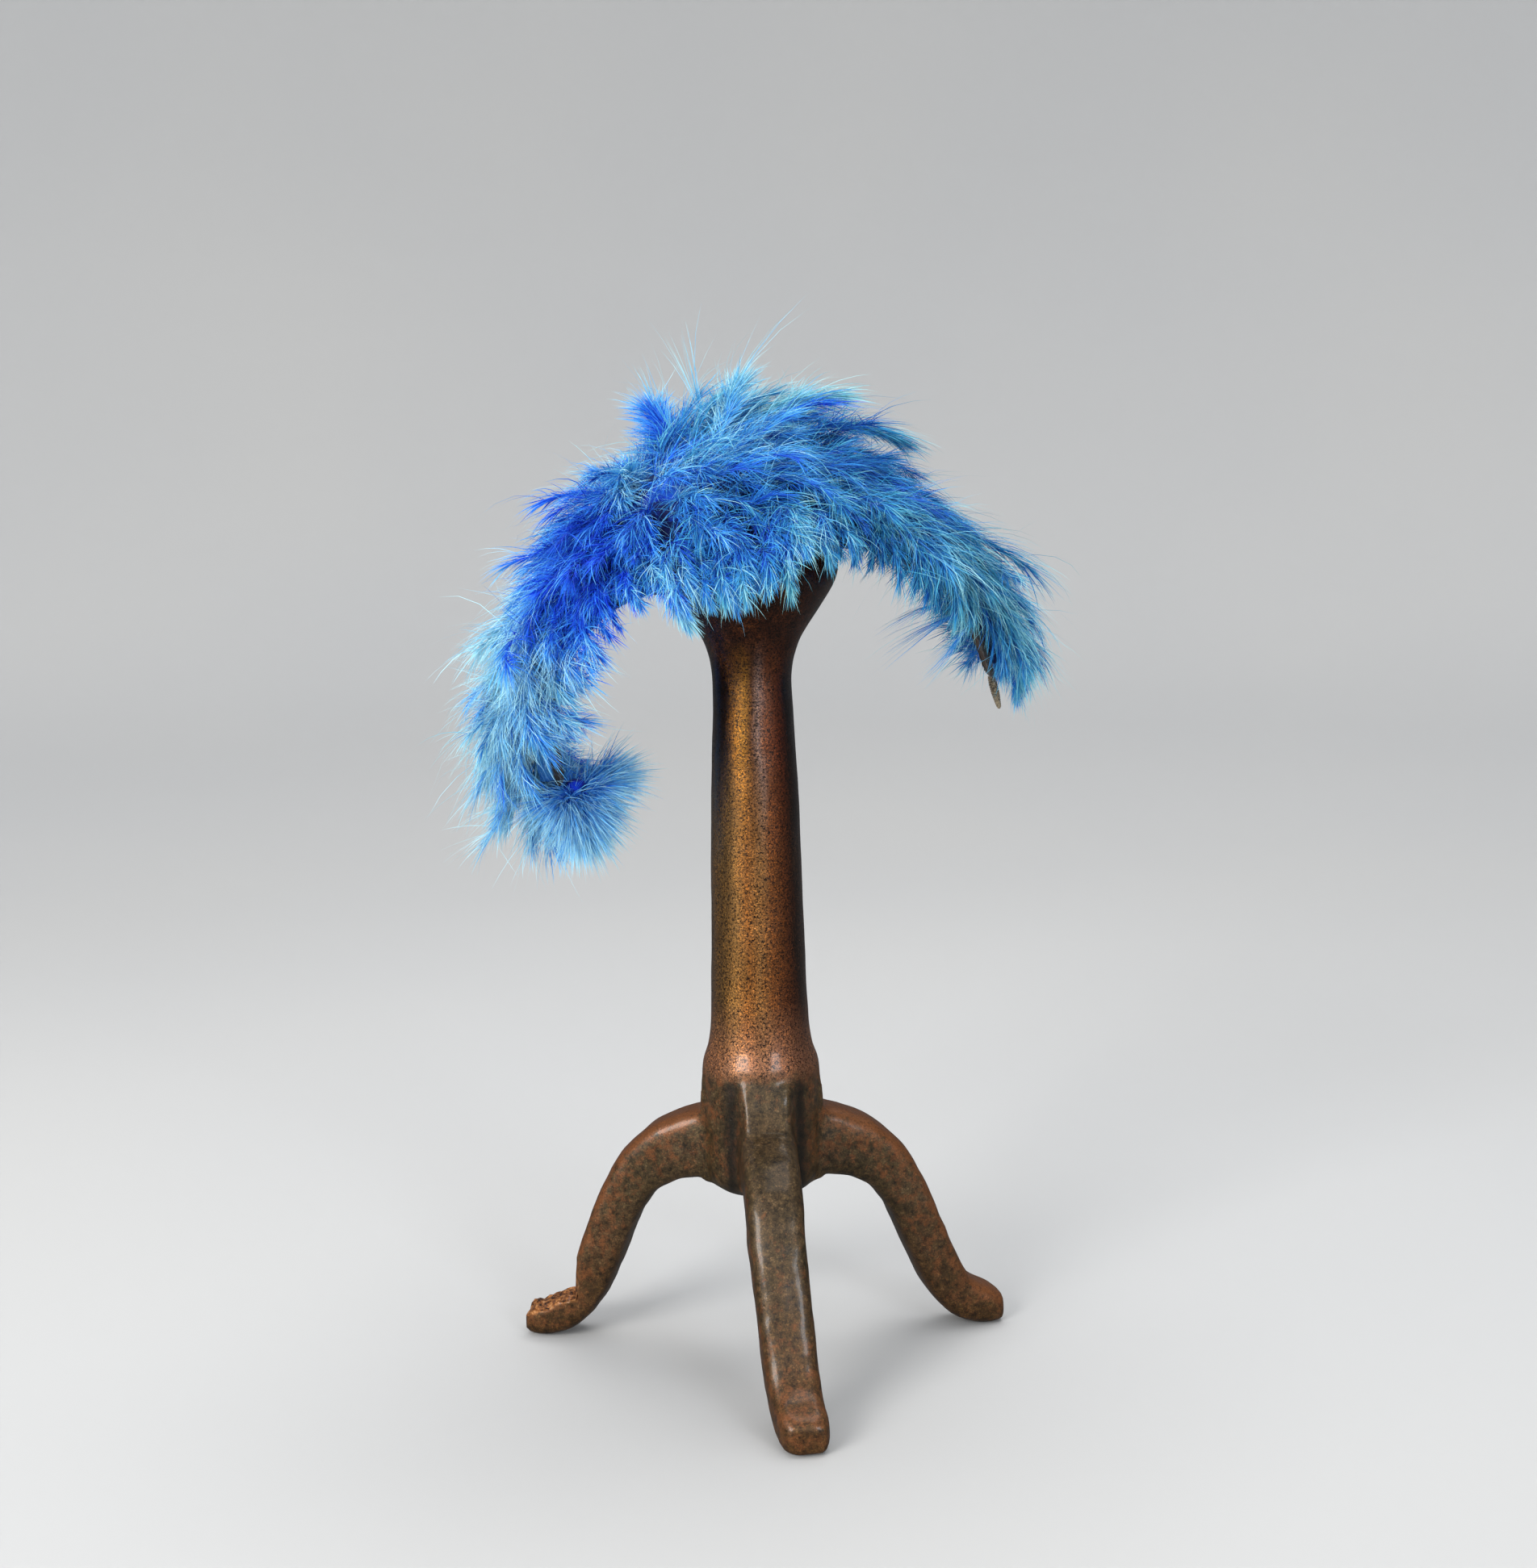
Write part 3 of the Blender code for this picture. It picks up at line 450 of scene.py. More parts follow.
def edge_angles(angle):
    """Front and back edge of the frame at an angle along the arch, joined by straight lines in the table."""
    return (np.interp(np.abs(angle), EDGES[:, 0], EDGES[:, 1]), np.interp(np.abs(angle), EDGES[:, 0], EDGES[:, 2]))


def shell_point(angle, across, height=0.0):
    """A point over the egg and the directions along the arch, backwards and outwards there.

    x = half width * cos(across) * sin(angle), y = half length * sin(across),
    z = height * cos(across) * cos(angle); the normal is the gradient of that ellipsoid.
    """
    along, over = np.radians(angle), np.radians(across)
    along, over = np.broadcast_arrays(along, over)
    point = np.stack([np.cos(over) * np.sin(along), np.sin(over), np.cos(over) * np.cos(along)], -1) * HEAD
    normal = unit(point / HEAD ** 2)
    forward = np.stack([np.cos(along), 0 * along, -np.sin(along)], -1)
    forward = unit(forward - normal * np.sum(forward * normal, -1, keepdims=True))
    return point + normal * np.asarray(height)[..., None], forward, np.cross(normal, forward), normal


nod, tip = math.radians(HAT_PITCH), math.radians(HAT_ROLL)
HAT_TURN = (np.array([[math.cos(tip), 0, -math.sin(tip)], [0, 1, 0], [math.sin(tip), 0, math.cos(tip)]])
            @ np.array([[1, 0, 0], [0, math.cos(nod), -math.sin(nod)], [0, math.sin(nod), math.cos(nod)]]))


def frame_wall(steps, rows):
    """The crescent as a closed strip: outer face, rounded edge, inner face, rounded edge, round and round."""
    angle = np.linspace(-FRAME_SPAN, FRAME_SPAN, steps)[:, None]
    front, back = edge_angles(angle)
    share = np.concatenate([np.linspace(0, 1, rows), np.linspace(1, 0, rows)])[None, :]
    depth = np.concatenate([np.zeros(rows), np.full(rows, -FRAME_WALL)])[None, :]
    return shell_point(angle, front + (back - front) * share, depth + 0 * angle)[0]


wall = frame_wall(161, 28)
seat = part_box("velvet_frame")[1].z / MM - (wall @ HAT_TURN.T)[..., 2].max()
HAT_PLACE = axis + np.array([HAT_SHIFT, 0.0, seat])


def place_hat(points):
    """Points of the hat turned and set on the stand."""
    return points @ HAT_TURN.T + HAT_PLACE


def velvet():
    """Brown velvet: a fine pile that is darker face on and lighter at a glancing angle, rubbed in patches."""
    finish = Finish("brown velvet", Roughness=0.95, Sheen_Weight=0.6, Sheen_Roughness=0.4,
                    Sheen_Tint=(0.35, 0.24, 0.18, 1.0))
    pile = finish.noise(0.45, 3.0, 0.7)
    rubbed = finish.noise(9.0, 5.0, 0.6)
    colour = finish.ramp(rubbed, (0.35, (0.01, 0.006, 0.005)), (0.6, (0.03, 0.017, 0.012)),
                         (0.75, (0.06, 0.036, 0.022)))
    finish.set("Base Color", finish.mix(finish.between(pile, 0.35, 0.7, 0.0, 0.5), colour, (0.006, 0.004, 0.003)))
    finish.set("Normal", finish.bump(pile, 0.25, 0.8))
    return finish.material


points, faces = closed(wall)
velvet_shell = put_mesh("velvet_shell", place_hat(points), faces, velvet())
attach(velvet_shell, "root")
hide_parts("velvet_frame")

# The edge of the frame. A covered millinery wire is whipped on all the way round, so the edge shows a thin
# roll of dark cloth with a slanting thread over it.
WIRE_RADIUS = 1.15
WIRE_GAP = 0.39


def edge_line(steps):
    """The closed line of the wire, and the shell's normal: the frame's edge moved out along its bisector."""
    arch = np.linspace(-FRAME_SPAN, FRAME_SPAN, steps)
    front, back = edge_angles(arch)
    line, _, _, normal = shell_point(np.concatenate([arch, arch[::-1]]), np.concatenate([front, back[::-1]]),
                                     np.full(2 * steps, -FRAME_WALL / 2 - 0.1))
    after = unit(np.roll(line, -1, 0) - line)
    before = np.roll(after, 1, 0)
    bisector = unit(np.cross(after, normal) + np.cross(before, normal))
    corner = np.clip(np.sum(bisector * np.cross(after, normal), 1), 0.65, 1.0)
    side = np.sign(np.sum(bisector[0] * (line[0] - line[steps // 2])))
    return line + bisector * side * ((WIRE_RADIUS + WIRE_GAP) / corner)[:, None], normal


def smooth_loop(line, normal, count, passes):
    """A closed line taken again at even steps and softened by its neighbours."""
    loop, ring = np.concatenate([line, line[:1]]), np.concatenate([normal, normal[:1]])
    run = np.concatenate([[0], np.cumsum(np.linalg.norm(np.diff(loop, axis=0), axis=1))])
    at = np.linspace(0, run[-1], count, endpoint=False)
    even, over = (np.stack([np.interp(at, run, column) for column in some.T], 1) for some in (loop, ring))
    for _ in range(passes):
        even = 0.25 * np.roll(even, 1, 0) + 0.5 * even + 0.25 * np.roll(even, -1, 0)
    return even, unit(over)


def rolled_edge(line, normal, sides, pitch):
    """Rings round a closed line, swollen by a slanting thread: radius + 0.12 * cos(turn - run / pitch)."""
    ahead = unit(np.roll(line, -1, 0) - np.roll(line, 1, 0))
    across = unit(np.cross(ahead, normal))
    over = np.cross(across, ahead)
    turn = np.arange(sides) * 2 * math.pi / sides
    run = np.arange(len(line)) * np.linalg.norm(line[1] - line[0])
    radius = WIRE_RADIUS - 0.08 + 0.12 * np.cos(turn[None, :] - 2 * math.pi * run[:, None] / pitch)
    return (line[:, None] + radius[..., None] * (np.cos(turn)[None, :, None] * across[:, None]
                                                 + np.sin(turn)[None, :, None] * over[:, None]))


def cover_cloth(name, dark, light, size):
    """Dark cloth: a close over-and-under weave with dust in it."""
    finish = Finish(name, Roughness=0.85, Sheen_Weight=0.25)
    thread = finish.noise(size, 2.0, 0.6)
    colour = finish.ramp(finish.noise(4.0, 4.0), (0.4, dark), (0.7, light))
    finish.set("Base Color", finish.mix(finish.between(thread, 0.45, 0.7), colour, light))
    finish.set("Normal", finish.bump(thread, 0.12, 0.7))
    return finish.material


wire_line, wire_normal = smooth_loop(*edge_line(33), 760, 4)
wire = rolled_edge(wire_line, wire_normal, 8, 2.4)
whipped_edge = put_mesh("whipped_edge", place_hat(wire.reshape(-1, 3)),
                        [grid_faces(*wire.shape[:2], wrap_rows=True, wrap_columns=True)],
                        cover_cloth("dark edge cloth", (0.009, 0.007, 0.007), (0.03, 0.024, 0.022), 0.3))
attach(whipped_edge, "root")
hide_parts("edge_binding")

# The bare wire end at the right. The frame's wire stands out past the velvet, wound with gold-grey thread
# and finished with a small turned eye and a blunt point.
TIP_LENGTH = 12.5
TIP_STEPS = 96
TIP_TURNS = 15.0


def wound_tip():
    """A tapered core wound with thread: radius from a table + 0.16 * |cos(half the winding turn)|."""
    front, back = edge_angles(FRAME_SPAN)
    start, ahead, backward, normal = shell_point(FRAME_SPAN, (front + back) / 2, -FRAME_WALL / 2 - 0.1)
    stem = 2 * (WIRE_RADIUS + WIRE_GAP)
    share = np.linspace(0, 1, TIP_STEPS)
    core = np.interp(share, (0.0, 0.25, 0.55, 0.8, 0.95, 1.0), (1.2, 1.5, 1.45, 1.1, 0.8, 0.45))
    turn = np.arange(14) * 2 * math.pi / 14
    wind = share[:, None] * TIP_TURNS * 2 * math.pi - turn[None, :]
    radius = core[:, None] - 0.1 + 0.2 * np.abs(np.cos(wind / 2))
    centre = start + ahead * (stem + TIP_LENGTH * share)[:, None]
    points = centre[:, None] + radius[..., None] * (np.cos(turn)[None, :, None] * backward
                                                    + np.sin(turn)[None, :, None] * normal)
    body = closed(points, points[[0, -1]].mean(1) + np.array([[0, 0, 0], ahead * 0.3]))
    eye_turn, tube_turn = np.radians(np.arange(0, 360, 12)), np.radians(np.arange(0, 360, 45))
    eye_middle = start + ahead * (stem + 0.52 * TIP_LENGTH) - backward * 1.62
    radial = np.cos(eye_turn)[:, None] * ahead + np.sin(eye_turn)[:, None] * normal
    eye = (eye_middle + 0.85 * radial[:, None] + 0.26 * (np.cos(tube_turn)[None, :, None] * radial[:, None]
                                                         + np.sin(tube_turn)[None, :, None] * backward))
    ring = eye.reshape(-1, 3), [grid_faces(len(eye_turn), len(tube_turn), wrap_rows=True, wrap_columns=True)]
    return join([body, ring])


points, faces = wound_tip()
thread_tip = put_mesh("thread_wound_tip", place_hat(points), faces,
                      cover_cloth("gold grey thread", (0.035, 0.026, 0.018), (0.3, 0.24, 0.15), 0.5))
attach(thread_tip, "root")
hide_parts("wire_end_tip")

# The marabou. Small downy turkey feathers, dyed royal blue with paler tips, sewn to the velvet in rows: three
# over the crown and one long run down each arm. Each group is a low bed of down with plumes lying in it, and a
# plume is a bent shaft whose barbs, thin ribbons, leave it on both sides and lie over towards its tip.
CLEARANCE = 0.45
HEM = 4.6
ARM_BULK = 14.0
CROWN_BULK = 22.0
ARCH = 94.0  # radius of the arch part of the way up the down
EVEN_STEPS = (0.7548777, 0.5698403)  # steps that fill a rectangle evenly
BARB_WIDTH = 0.34
BARB_STEPS = 4
SHAFT_STEPS = 8
WISP_BARBS = 100  # a single plume with fewer barbs than this is a wisp of thin ones
BED_COLUMNS = 24
ALLOWED = np.array([cad_low, cad_high]) / MM + np.array([[-8.0, -6.0, 0.0], [8.0, 7.0, 19.0]])
LIE = np.array([  # angle; heading at the front hem, middle and back hem; lift at the root there; lift at the tip
    (-88, 205, 182, 165, 30, 58, 20, -30, 40, -20),
    (-72, 222, 184, 158, 10, 55, 15, -72, 38, -25),
    (-56, 226, 186, 150, 10, 52, 15, -66, 34, -30),
    (-38, 232, 190, 148, 15, 42, 20, -45, 18, -5),
    (-22, 244, 205, 135, 20, 40, 55, -45, 0, 25),
    (-16, 250, 240, 115, 25, 35, 66, -60, -5, 45),
    (-10, 256, 340, 95, 25, 35, 70, -70, -10, 50),
    (6, 272, 4, 60, 25, 35, 66, -70, -12, 40),
    (18, 284, 2, 30, 25, 35, 48, -45, -5, 20),
    (30, 300, -2, 25, 15, 30, 25, -40, -10, -5),
    (46, 318, -4, 35, 5, 25, 12, -40, 0, -40),
    (66, 340, -4, 40, 5, 30, 10, -15, 10, -50),
    (88, 350, -4, 30, 0, 25, 10, -15, 5, -40)], float)
LONG = np.array([(-92, 0.85), (-74, 1.0), (50, 1.0), (70, 0.85), (86, 0.5)])  # angle, share of the full length
DYED = np.array([  # angle, share, reach in angle, reach in share, how much paler (below 0 is deeper)
    (-27, 0.2, 9, 0.42, -0.56), (-41, 0.2, 8, 0.6, -0.3), (-48, -0.15, 14, 0.25, -0.34), (-71, 0.3, 4, 0.4, -0.36),
    (-60, 0.45, 11, 0.7, 0.66), (-86, 0.6, 24, 0.9, 0.62), (4, 0.13, 15, 0.15, -0.46), (26, 0.62, 9, 0.12, -0.35),
    (-10, 0.74, 9, 0.12, -0.35), (30, 0.36, 8, 0.14, -0.25), (-10, 0.46, 10, 0.08, 0.22), (-9, -0.17, 8, 0.08, 0.34),
    (24, 0.95, 11, 0.2, 0.35), (42, 0.5, 14, 0.9, -0.42), (66, 0.5, 12, 0.9, -0.04), (86, 0.4, 8, 0.6, -0.15),
    (12, -0.2, 12, 0.08, 0.16), (14, -0.06, 14, 0.07, -0.14)], float)
TEAL = np.array([(-95, 0.0), (-30, 0.15), (-8, 0.62), (14, 0.75), (34, 1.0), (66, 0.9), (88, 0.6)], float)


def bare_front(angle):
    """Share of the width at the front that has no feathers: none, but for both ends."""
    return np.interp(angle, (-76, -66, 70, 80), (0.48, 0.0, 0.0, 0.3))


def crown_share(angle):
    """1 over the crown, fading to 0 along the arms: a bell of half width 36 degrees."""
    return np.exp(-(angle / 36.0) ** 2)


def down_height(angle, share):
    """Depth of the down: a rounded section, and a lift over the crown that grows towards the back."""
    share = np.clip(share, 0, 1)
    rounding = 0.62 + 0.38 * np.sin(math.pi * share) ** 0.8
    arm = ARM_BULK - 3.0 * crown_share(angle) * (1 - share)
    return arm * rounding + CROWN_BULK * crown_share(angle) * share ** 1.2


def across_at(angle, share):
    """Angle across the shell at a share of the frame's width, hems included."""
    front, back = edge_angles(angle)
    hem = math.degrees(HEM / HEAD[1])
    return front - hem + (back - front + 2 * hem) * share


def share_at(angle, across):
    """Share of the frame's width, hems included, of an angle across the shell."""
    return (across - across_at(angle, 0.0)) / (across_at(angle, 1.0) - across_at(angle, 0.0))


def over_arch(along, across, height):
    """Places given in mm along the arch, degrees across and mm up; past the ends the line runs on straight."""
    angle = np.degrees(along / ARCH)
    inside = np.clip(angle, -FRAME_SPAN, FRAME_SPAN)
    point, forward, _, _ = shell_point(inside, across, height)
    return point + forward * (np.radians(angle - inside) * ARCH)[..., None]


def lie_of(angle, share):
    """Heading in the surface as a vector, and lifts at root and tip: the table between its rows and columns."""
    def field(columns):
        front, middle, back = (np.interp(angle, LIE[:, 0], column) for column in columns)
        return np.where(share < 0.5, front + (middle - front) * share * 2, middle + (back - middle) * (share * 2 - 1))
    heading = np.stack([field(np.cos(np.radians(LIE[:, 1:4])).T), field(np.sin(np.radians(LIE[:, 1:4])).T)], -1)
    return unit(heading), field(LIE[:, 4:7].T), field(LIE[:, 7:10].T)


def paleness(angle, share):
    """How pale the dye is at a place: 0.45, plus each patch's amount times a bell in angle and share."""
    total = np.full(np.broadcast(angle, share).shape, 0.45)
    for middle, across, reach, spread, amount in DYED:
        total += amount * np.exp(-((angle - middle) / reach) ** 2 - ((share - across) / spread) ** 2)
    return total


def strew_plumes(rng, count, angles, shares, length, spread):
    """Plumes placed evenly over a group, but for the bare front of both ends; each is a row: angle, share,
    height, heading, lifts, shaft, barb length, spread, how much paler than its place at root and tip, tone."""
    number = np.arange(count)
    angle = angles[0] + (angles[1] - angles[0]) * ((0.5 + number * EVEN_STEPS[0]) % 1)
    share = shares[0] + (shares[1] - shares[0]) * ((0.5 + number * EVEN_STEPS[1]) % 1)
    heading, root_lift, tip_lift = lie_of(angle, share)
    turn = np.degrees(np.arctan2(heading[:, 1], heading[:, 0]))
    turn = turn + rng.normal(0, 1, count) * (13 + 12 * crown_share(angle))
    height = down_height(angle, share) * (rng.uniform(0.35, 0.62, count) + 0.3 * crown_share(angle))
    tone = np.interp(angle, *TEAL.T) + rng.normal(0, 0.18, count)
    hem = np.clip(np.abs(share - 0.5) * 2.4 - 0.6, 0, 1) * (np.abs(angle) < 70)
    hem = hem * np.where(share < 0.5, np.interp(angle, (-30, -16, 30, 40), (0.4, 0.62, 0.62, 0.4)), 0.4)
    length = length * rng.uniform(0.75, 1.15, count) * np.interp(angle, *LONG.T) * (1 - hem)
    rows = np.stack([angle, share, height, turn, root_lift + rng.normal(0, 9, count),
                     tip_lift + rng.normal(0, 1, count) * (12 + 10 * crown_share(angle)), length, 0.62 * length,
                     spread * rng.uniform(0.8, 1.2, count), rng.normal(-0.15, 0.13, count),
                     rng.normal(0.2, 0.13, count), tone], 1)
    return rows[(share >= bare_front(angle)) | (bare_front(angle) == 0)]


def strew_curtain(rng, count, angles, fullness):
    """Plumes rooted up the back of the bed that hang down behind, in the same rows of numbers."""
    rows = strew_plumes(rng, count, angles, (0.86, 1.0), 20.0, 1.2)
    rows[:, 2] = bed_height(rows[:, 0], rows[:, 1], fullness)
    rows[:, 3] = rng.normal(90, 22, len(rows))
    rows[:, 4:6] = rng.normal((25, -72), (10, 8), (len(rows), 2))
    rows[:, 6:8] = np.array([16.0, 15.0]) * rng.uniform(0.8, 1.2, (len(rows), 1))
    return rows


def directions(turn, lift):
    """Ahead, beside and over for a heading and a lift in degrees, in mm along, across and up."""
    turn, lift = np.radians(turn), np.radians(lift)
    ahead = np.stack([np.cos(lift) * np.cos(turn), np.cos(lift) * np.sin(turn), np.sin(lift)], -1)
    beside = np.stack([-np.sin(turn), np.cos(turn), 0 * turn], -1)
    return ahead, beside, np.cross(ahead, beside)


def plume_barbs(rng, plumes, count, strays=0.08):
    """Barbs of some plumes, as curves in mm with widths, facing, paleness and tone.

    The shaft's lift goes evenly from root to tip; a barb leaves it at an opening angle, keeps 0.6 of it at its
    own tip, sags a little, and is shorter the nearer its root is to the tip of the plume. The dye is that of
    the place where the outer half of the barb lies.
    """
    mine = rng.integers(0, len(plumes), count)
    angle, share, height, turn, low, high, length, barb, spread, pale, paler, tone = plumes[mine].T
    up = rng.uniform(0, 1, count) ** 0.8
    bend = np.linspace(0, 1, SHAFT_STEPS + 1)[None, :] * up[:, None]
    ahead, _, _ = directions(turn[:, None], low[:, None] + (high - low)[:, None] * bend)
    start = ahead.mean(1) * (length * up)[:, None]
    ahead, beside, over = directions(turn, low + (high - low) * up)
    roll = np.random.default_rng(7).normal(0, 0.35, len(plumes))[mine]
    beside = beside * np.cos(roll)[:, None] + over * np.sin(roll)[:, None]
    side = rng.choice((-1.0, 1.0), count)

    def opened(angle):
        return ahead * np.cos(angle)[:, None] + beside * (side * np.sin(angle))[:, None]
    stray = rng.random(count) < strays
    guard = rng.random(count) < 0.1
    opening = np.radians(np.clip(rng.normal(48, 16, count) - 26 * up, 4, 85)) * spread
    rough = rng.normal(0, 1, (count, 3)) * (np.where(stray, 0.4, 0.17) * np.minimum(spread, 1))[:, None]
    leave = unit(opened(opening) + rough + over * (0.1 + 0.25 * (guard | stray))[:, None])
    fall = np.radians(angle - HAT_ROLL)
    sag = np.stack([np.sin(fall), 0 * fall, -np.cos(fall)], -1) * np.where(stray, 0.3, 0.16)[:, None]
    arrive = unit(opened(0.6 * opening) + rough * 1.3 + sag + rng.normal(0, 0.09, (count, 3)))
    reach = barb * (1.06 - 0.35 * up) * rng.uniform(0.45, 1.2, count) * np.where(stray, 1.8, 1.0 + 0.25 * guard)
    share_along = (np.arange(BARB_STEPS) + 0.5) / BARB_STEPS
    heading = unit(leave[:, None] * (1 - share_along)[None, :, None] + arrive[:, None] * share_along[None, :, None])
    walk = np.cumsum(heading * (reach / BARB_STEPS)[:, None, None], 1)
    local = np.concatenate([start[:, None], start[:, None] + walk], 1)
    local = local + np.stack([np.radians(angle) * ARCH, 0 * angle, height + 1.6 * guard], -1)[:, None]
    across = across_at(angle, share)[:, None] + np.degrees(local[..., 1] / HEAD[1])
    curves = over_arch(local[..., 0], across, local[..., 2])
    _, forward, backward, normal = shell_point(angle, across[:, 0])
    facing = unit(over + rng.normal(0, 0.6, (count, 3)))
    facing = forward * facing[:, :1] + backward * facing[:, 1:2] + normal * facing[:, 2:]
    seen = np.degrees(local[:, 3, 0] / ARCH)
    dye = paleness(seen, share_at(seen, across[:, 3]))
    dye = dye + rng.normal(0, 0.1, count) + np.where(guard | stray, 0.36, 0.0)
    root, tip = np.maximum(dye + pale, 0.12), np.maximum(dye + paler + 0.12 * up, 0.14)
    width = BARB_WIDTH * rng.uniform(0.6, 1.25, count) * np.where(stray, 0.5, 1.0 - 0.2 * guard)
    width = width * (0.6 if count < WISP_BARBS else 1.0)
    return curves, width, facing, root, tip, tone + rng.normal(0, 0.12, count)


def within_box(curves):
    """Barbs that would pass the allowed box are drawn in towards their roots, by the share that fits ** 1.2."""
    placed = place_hat(curves)
    step = placed - placed[:, :1] - 1e-6
    room = np.where(step > 0, ALLOWED[1], ALLOWED[0]) - placed[:, :1]
    keep = np.clip((room / step).min((1, 2)), 0.0, 1.0) ** 1.2
    return placed[:, :1] + (placed - placed[:, :1]) * keep[:, None, None]


def barb_ribbons(curves, width, facing):
    """Flat ribbons along curves, widest at a third of the length and pointed at the tip."""
    count, stations = curves.shape[:2]
    share = np.linspace(0, 1, stations)
    tangent = unit(np.gradient(curves, axis=1))
    side = unit(np.cross(tangent, facing[:, None]))
    taper = np.interp(share, (0.0, 0.3, 0.7, 1.0), (0.75, 1.0, 0.62, 0.0))
    half = side * (width[:, None] * taper / 2)[..., None]
    pairs = np.stack([curves - half, curves + half], 2)[:, :-1].reshape(count, -1, 3)
    points = np.concatenate([pairs, curves[:, -1:]], 1)
    along = np.append(np.repeat(share[:-1], 2), 1.0)
    each = points.shape[1]
    step = np.arange(stations - 2) * 2
    quads = np.stack([step, step + 1, step + 3, step + 2], 1)
    tips = np.array([[each - 3, each - 2, each - 1]])
    first = (np.arange(count) * each)[:, None, None]
    return points.reshape(-1, 3), [(first + quads).reshape(-1, 4), (first + tips).reshape(-1, 3)], along


def bed_height(angle, share, fullness):
    """Height of the bed: a share of the down's, brought down to the frame at the hems by (4 s (1 - s)) ** 0.3."""
    return down_height(angle, share) * fullness * np.clip(4 * share * (1 - share), 0, 1) ** 0.3


def down_bed(angles, shares, fullness):
    """The low bed of down that the plumes lie in: a closed lumpy slab over the frame, with its paleness set 0.45
    below that of its place, as painted shade deep in the down.
    """
    angle = np.linspace(angles[0] + 0.4, angles[1] - 0.4, int(angles[1] - angles[0]) + 2)[:, None]
    share = np.linspace(*shares, BED_COLUMNS)
    share = np.concatenate([share, share[-2:0:-1]])[None, :]
    angle, share = np.broadcast_arrays(angle, share)
    share = np.maximum(share, bare_front(angle) + 0.02 * share)
    top = bed_height(angle, share, fullness) * np.clip((share - bare_front(angle)) * 6, 0, 1) ** 0.5
    points, _, _, normal = shell_point(angle, across_at(angle, share), CLEARANCE + top)
    outer = points + normal * (0.9 * grain(points, 5.0, 8) + 0.5 * grain(points, 2.2, 9))[..., None]
    flat = shell_point(angle, across_at(angle, share), CLEARANCE)[0]
    section = np.where(np.arange(share.shape[1])[None, :, None] >= BED_COLUMNS, flat, outer)
    # Painted shade: the bed's paleness is that of its place less 0.45, so the depth under the plumes is near-black
    # navy.
    pale = (paleness(angle, share) - 0.45).reshape(-1)
    tone = np.interp(angle, *TEAL.T).reshape(-1)
    return *closed(section), np.append(pale, pale[[0, -1]]), np.append(tone, tone[[0, -1]])


def feather_colour():
    """Dyed down: near-black navy at the bottom of the scale, where the bed carries painted shade, royal blue where
    the dye is deep, through sky blue to near white, greener where it is teal.
    """
    finish = Finish("dyed marabou", Roughness=0.7, Sheen_Weight=0.06, Sheen_Roughness=0.5,
                    Sheen_Tint=(0.5, 0.75, 1.0, 1.0), Specular_IOR_Level=0.25)
    pale, teal = finish.attribute("pale"), finish.attribute("teal")
    pale = finish.sum("ADD", pale, finish.between(finish.noise(5.0, 3.0), 0.3, 0.7, -0.1, 0.1))
    blue = finish.ramp(pale, (0.0, (0.001, 0.006, 0.1)), (0.14, (0.004, 0.05, 0.86)),
                       (0.42, (0.018, 0.23, 0.94)), (0.7, (0.115, 0.5, 0.97)), (1.0, (0.46, 0.82, 0.96)))
    green = finish.ramp(pale, (0.0, (0.001, 0.01, 0.07)), (0.14, (0.004, 0.085, 0.46)),
                        (0.42, (0.016, 0.24, 0.52)), (0.7, (0.08, 0.42, 0.56)), (1.0, (0.34, 0.7, 0.74)))
    finish.set("Base Color", finish.mix(finish.between(teal, 0.0, 1.0), blue, green))
    return finish.material


MARABOU = feather_colour()
GROUPS = [  # name, node, slot, angles, shares, barbs, plumes, plume length, spread, fullness of the bed, seed
    ("front_marabou", "front_feathers", "royal_feathers", (-38, 38), (0.0, 0.36), 17500, 100, 21.0, 1.0, 0.6, 21),
    ("middle_marabou", "middle_feathers", "sky_feathers", (-38, 38), (0.34, 0.67), 17500, 115, 23.0, 1.0, 0.8, 22),
    ("back_marabou", "back_feathers", "sky_feathers", (-38, 38), (0.67, 1.0), 16500, 90, 25.0, 1.0, 0.8, 23),
    ("left_arm_marabou", "left_arm_feathers", "royal_feathers", (-91, -36), (-0.05, 1.05), 25500, 130, 30.0, 1.3,
     0.5, 24),
    ("right_arm_marabou", "right_arm_feathers", "teal_feathers", (36, 87), (0.0, 1.0), 21500, 110, 31.0, 0.85,
     0.5, 25),
]
CURTAINS = {"back_marabou": (5500, 70), "right_arm_marabou": (3500, 60)}  # barbs, plumes
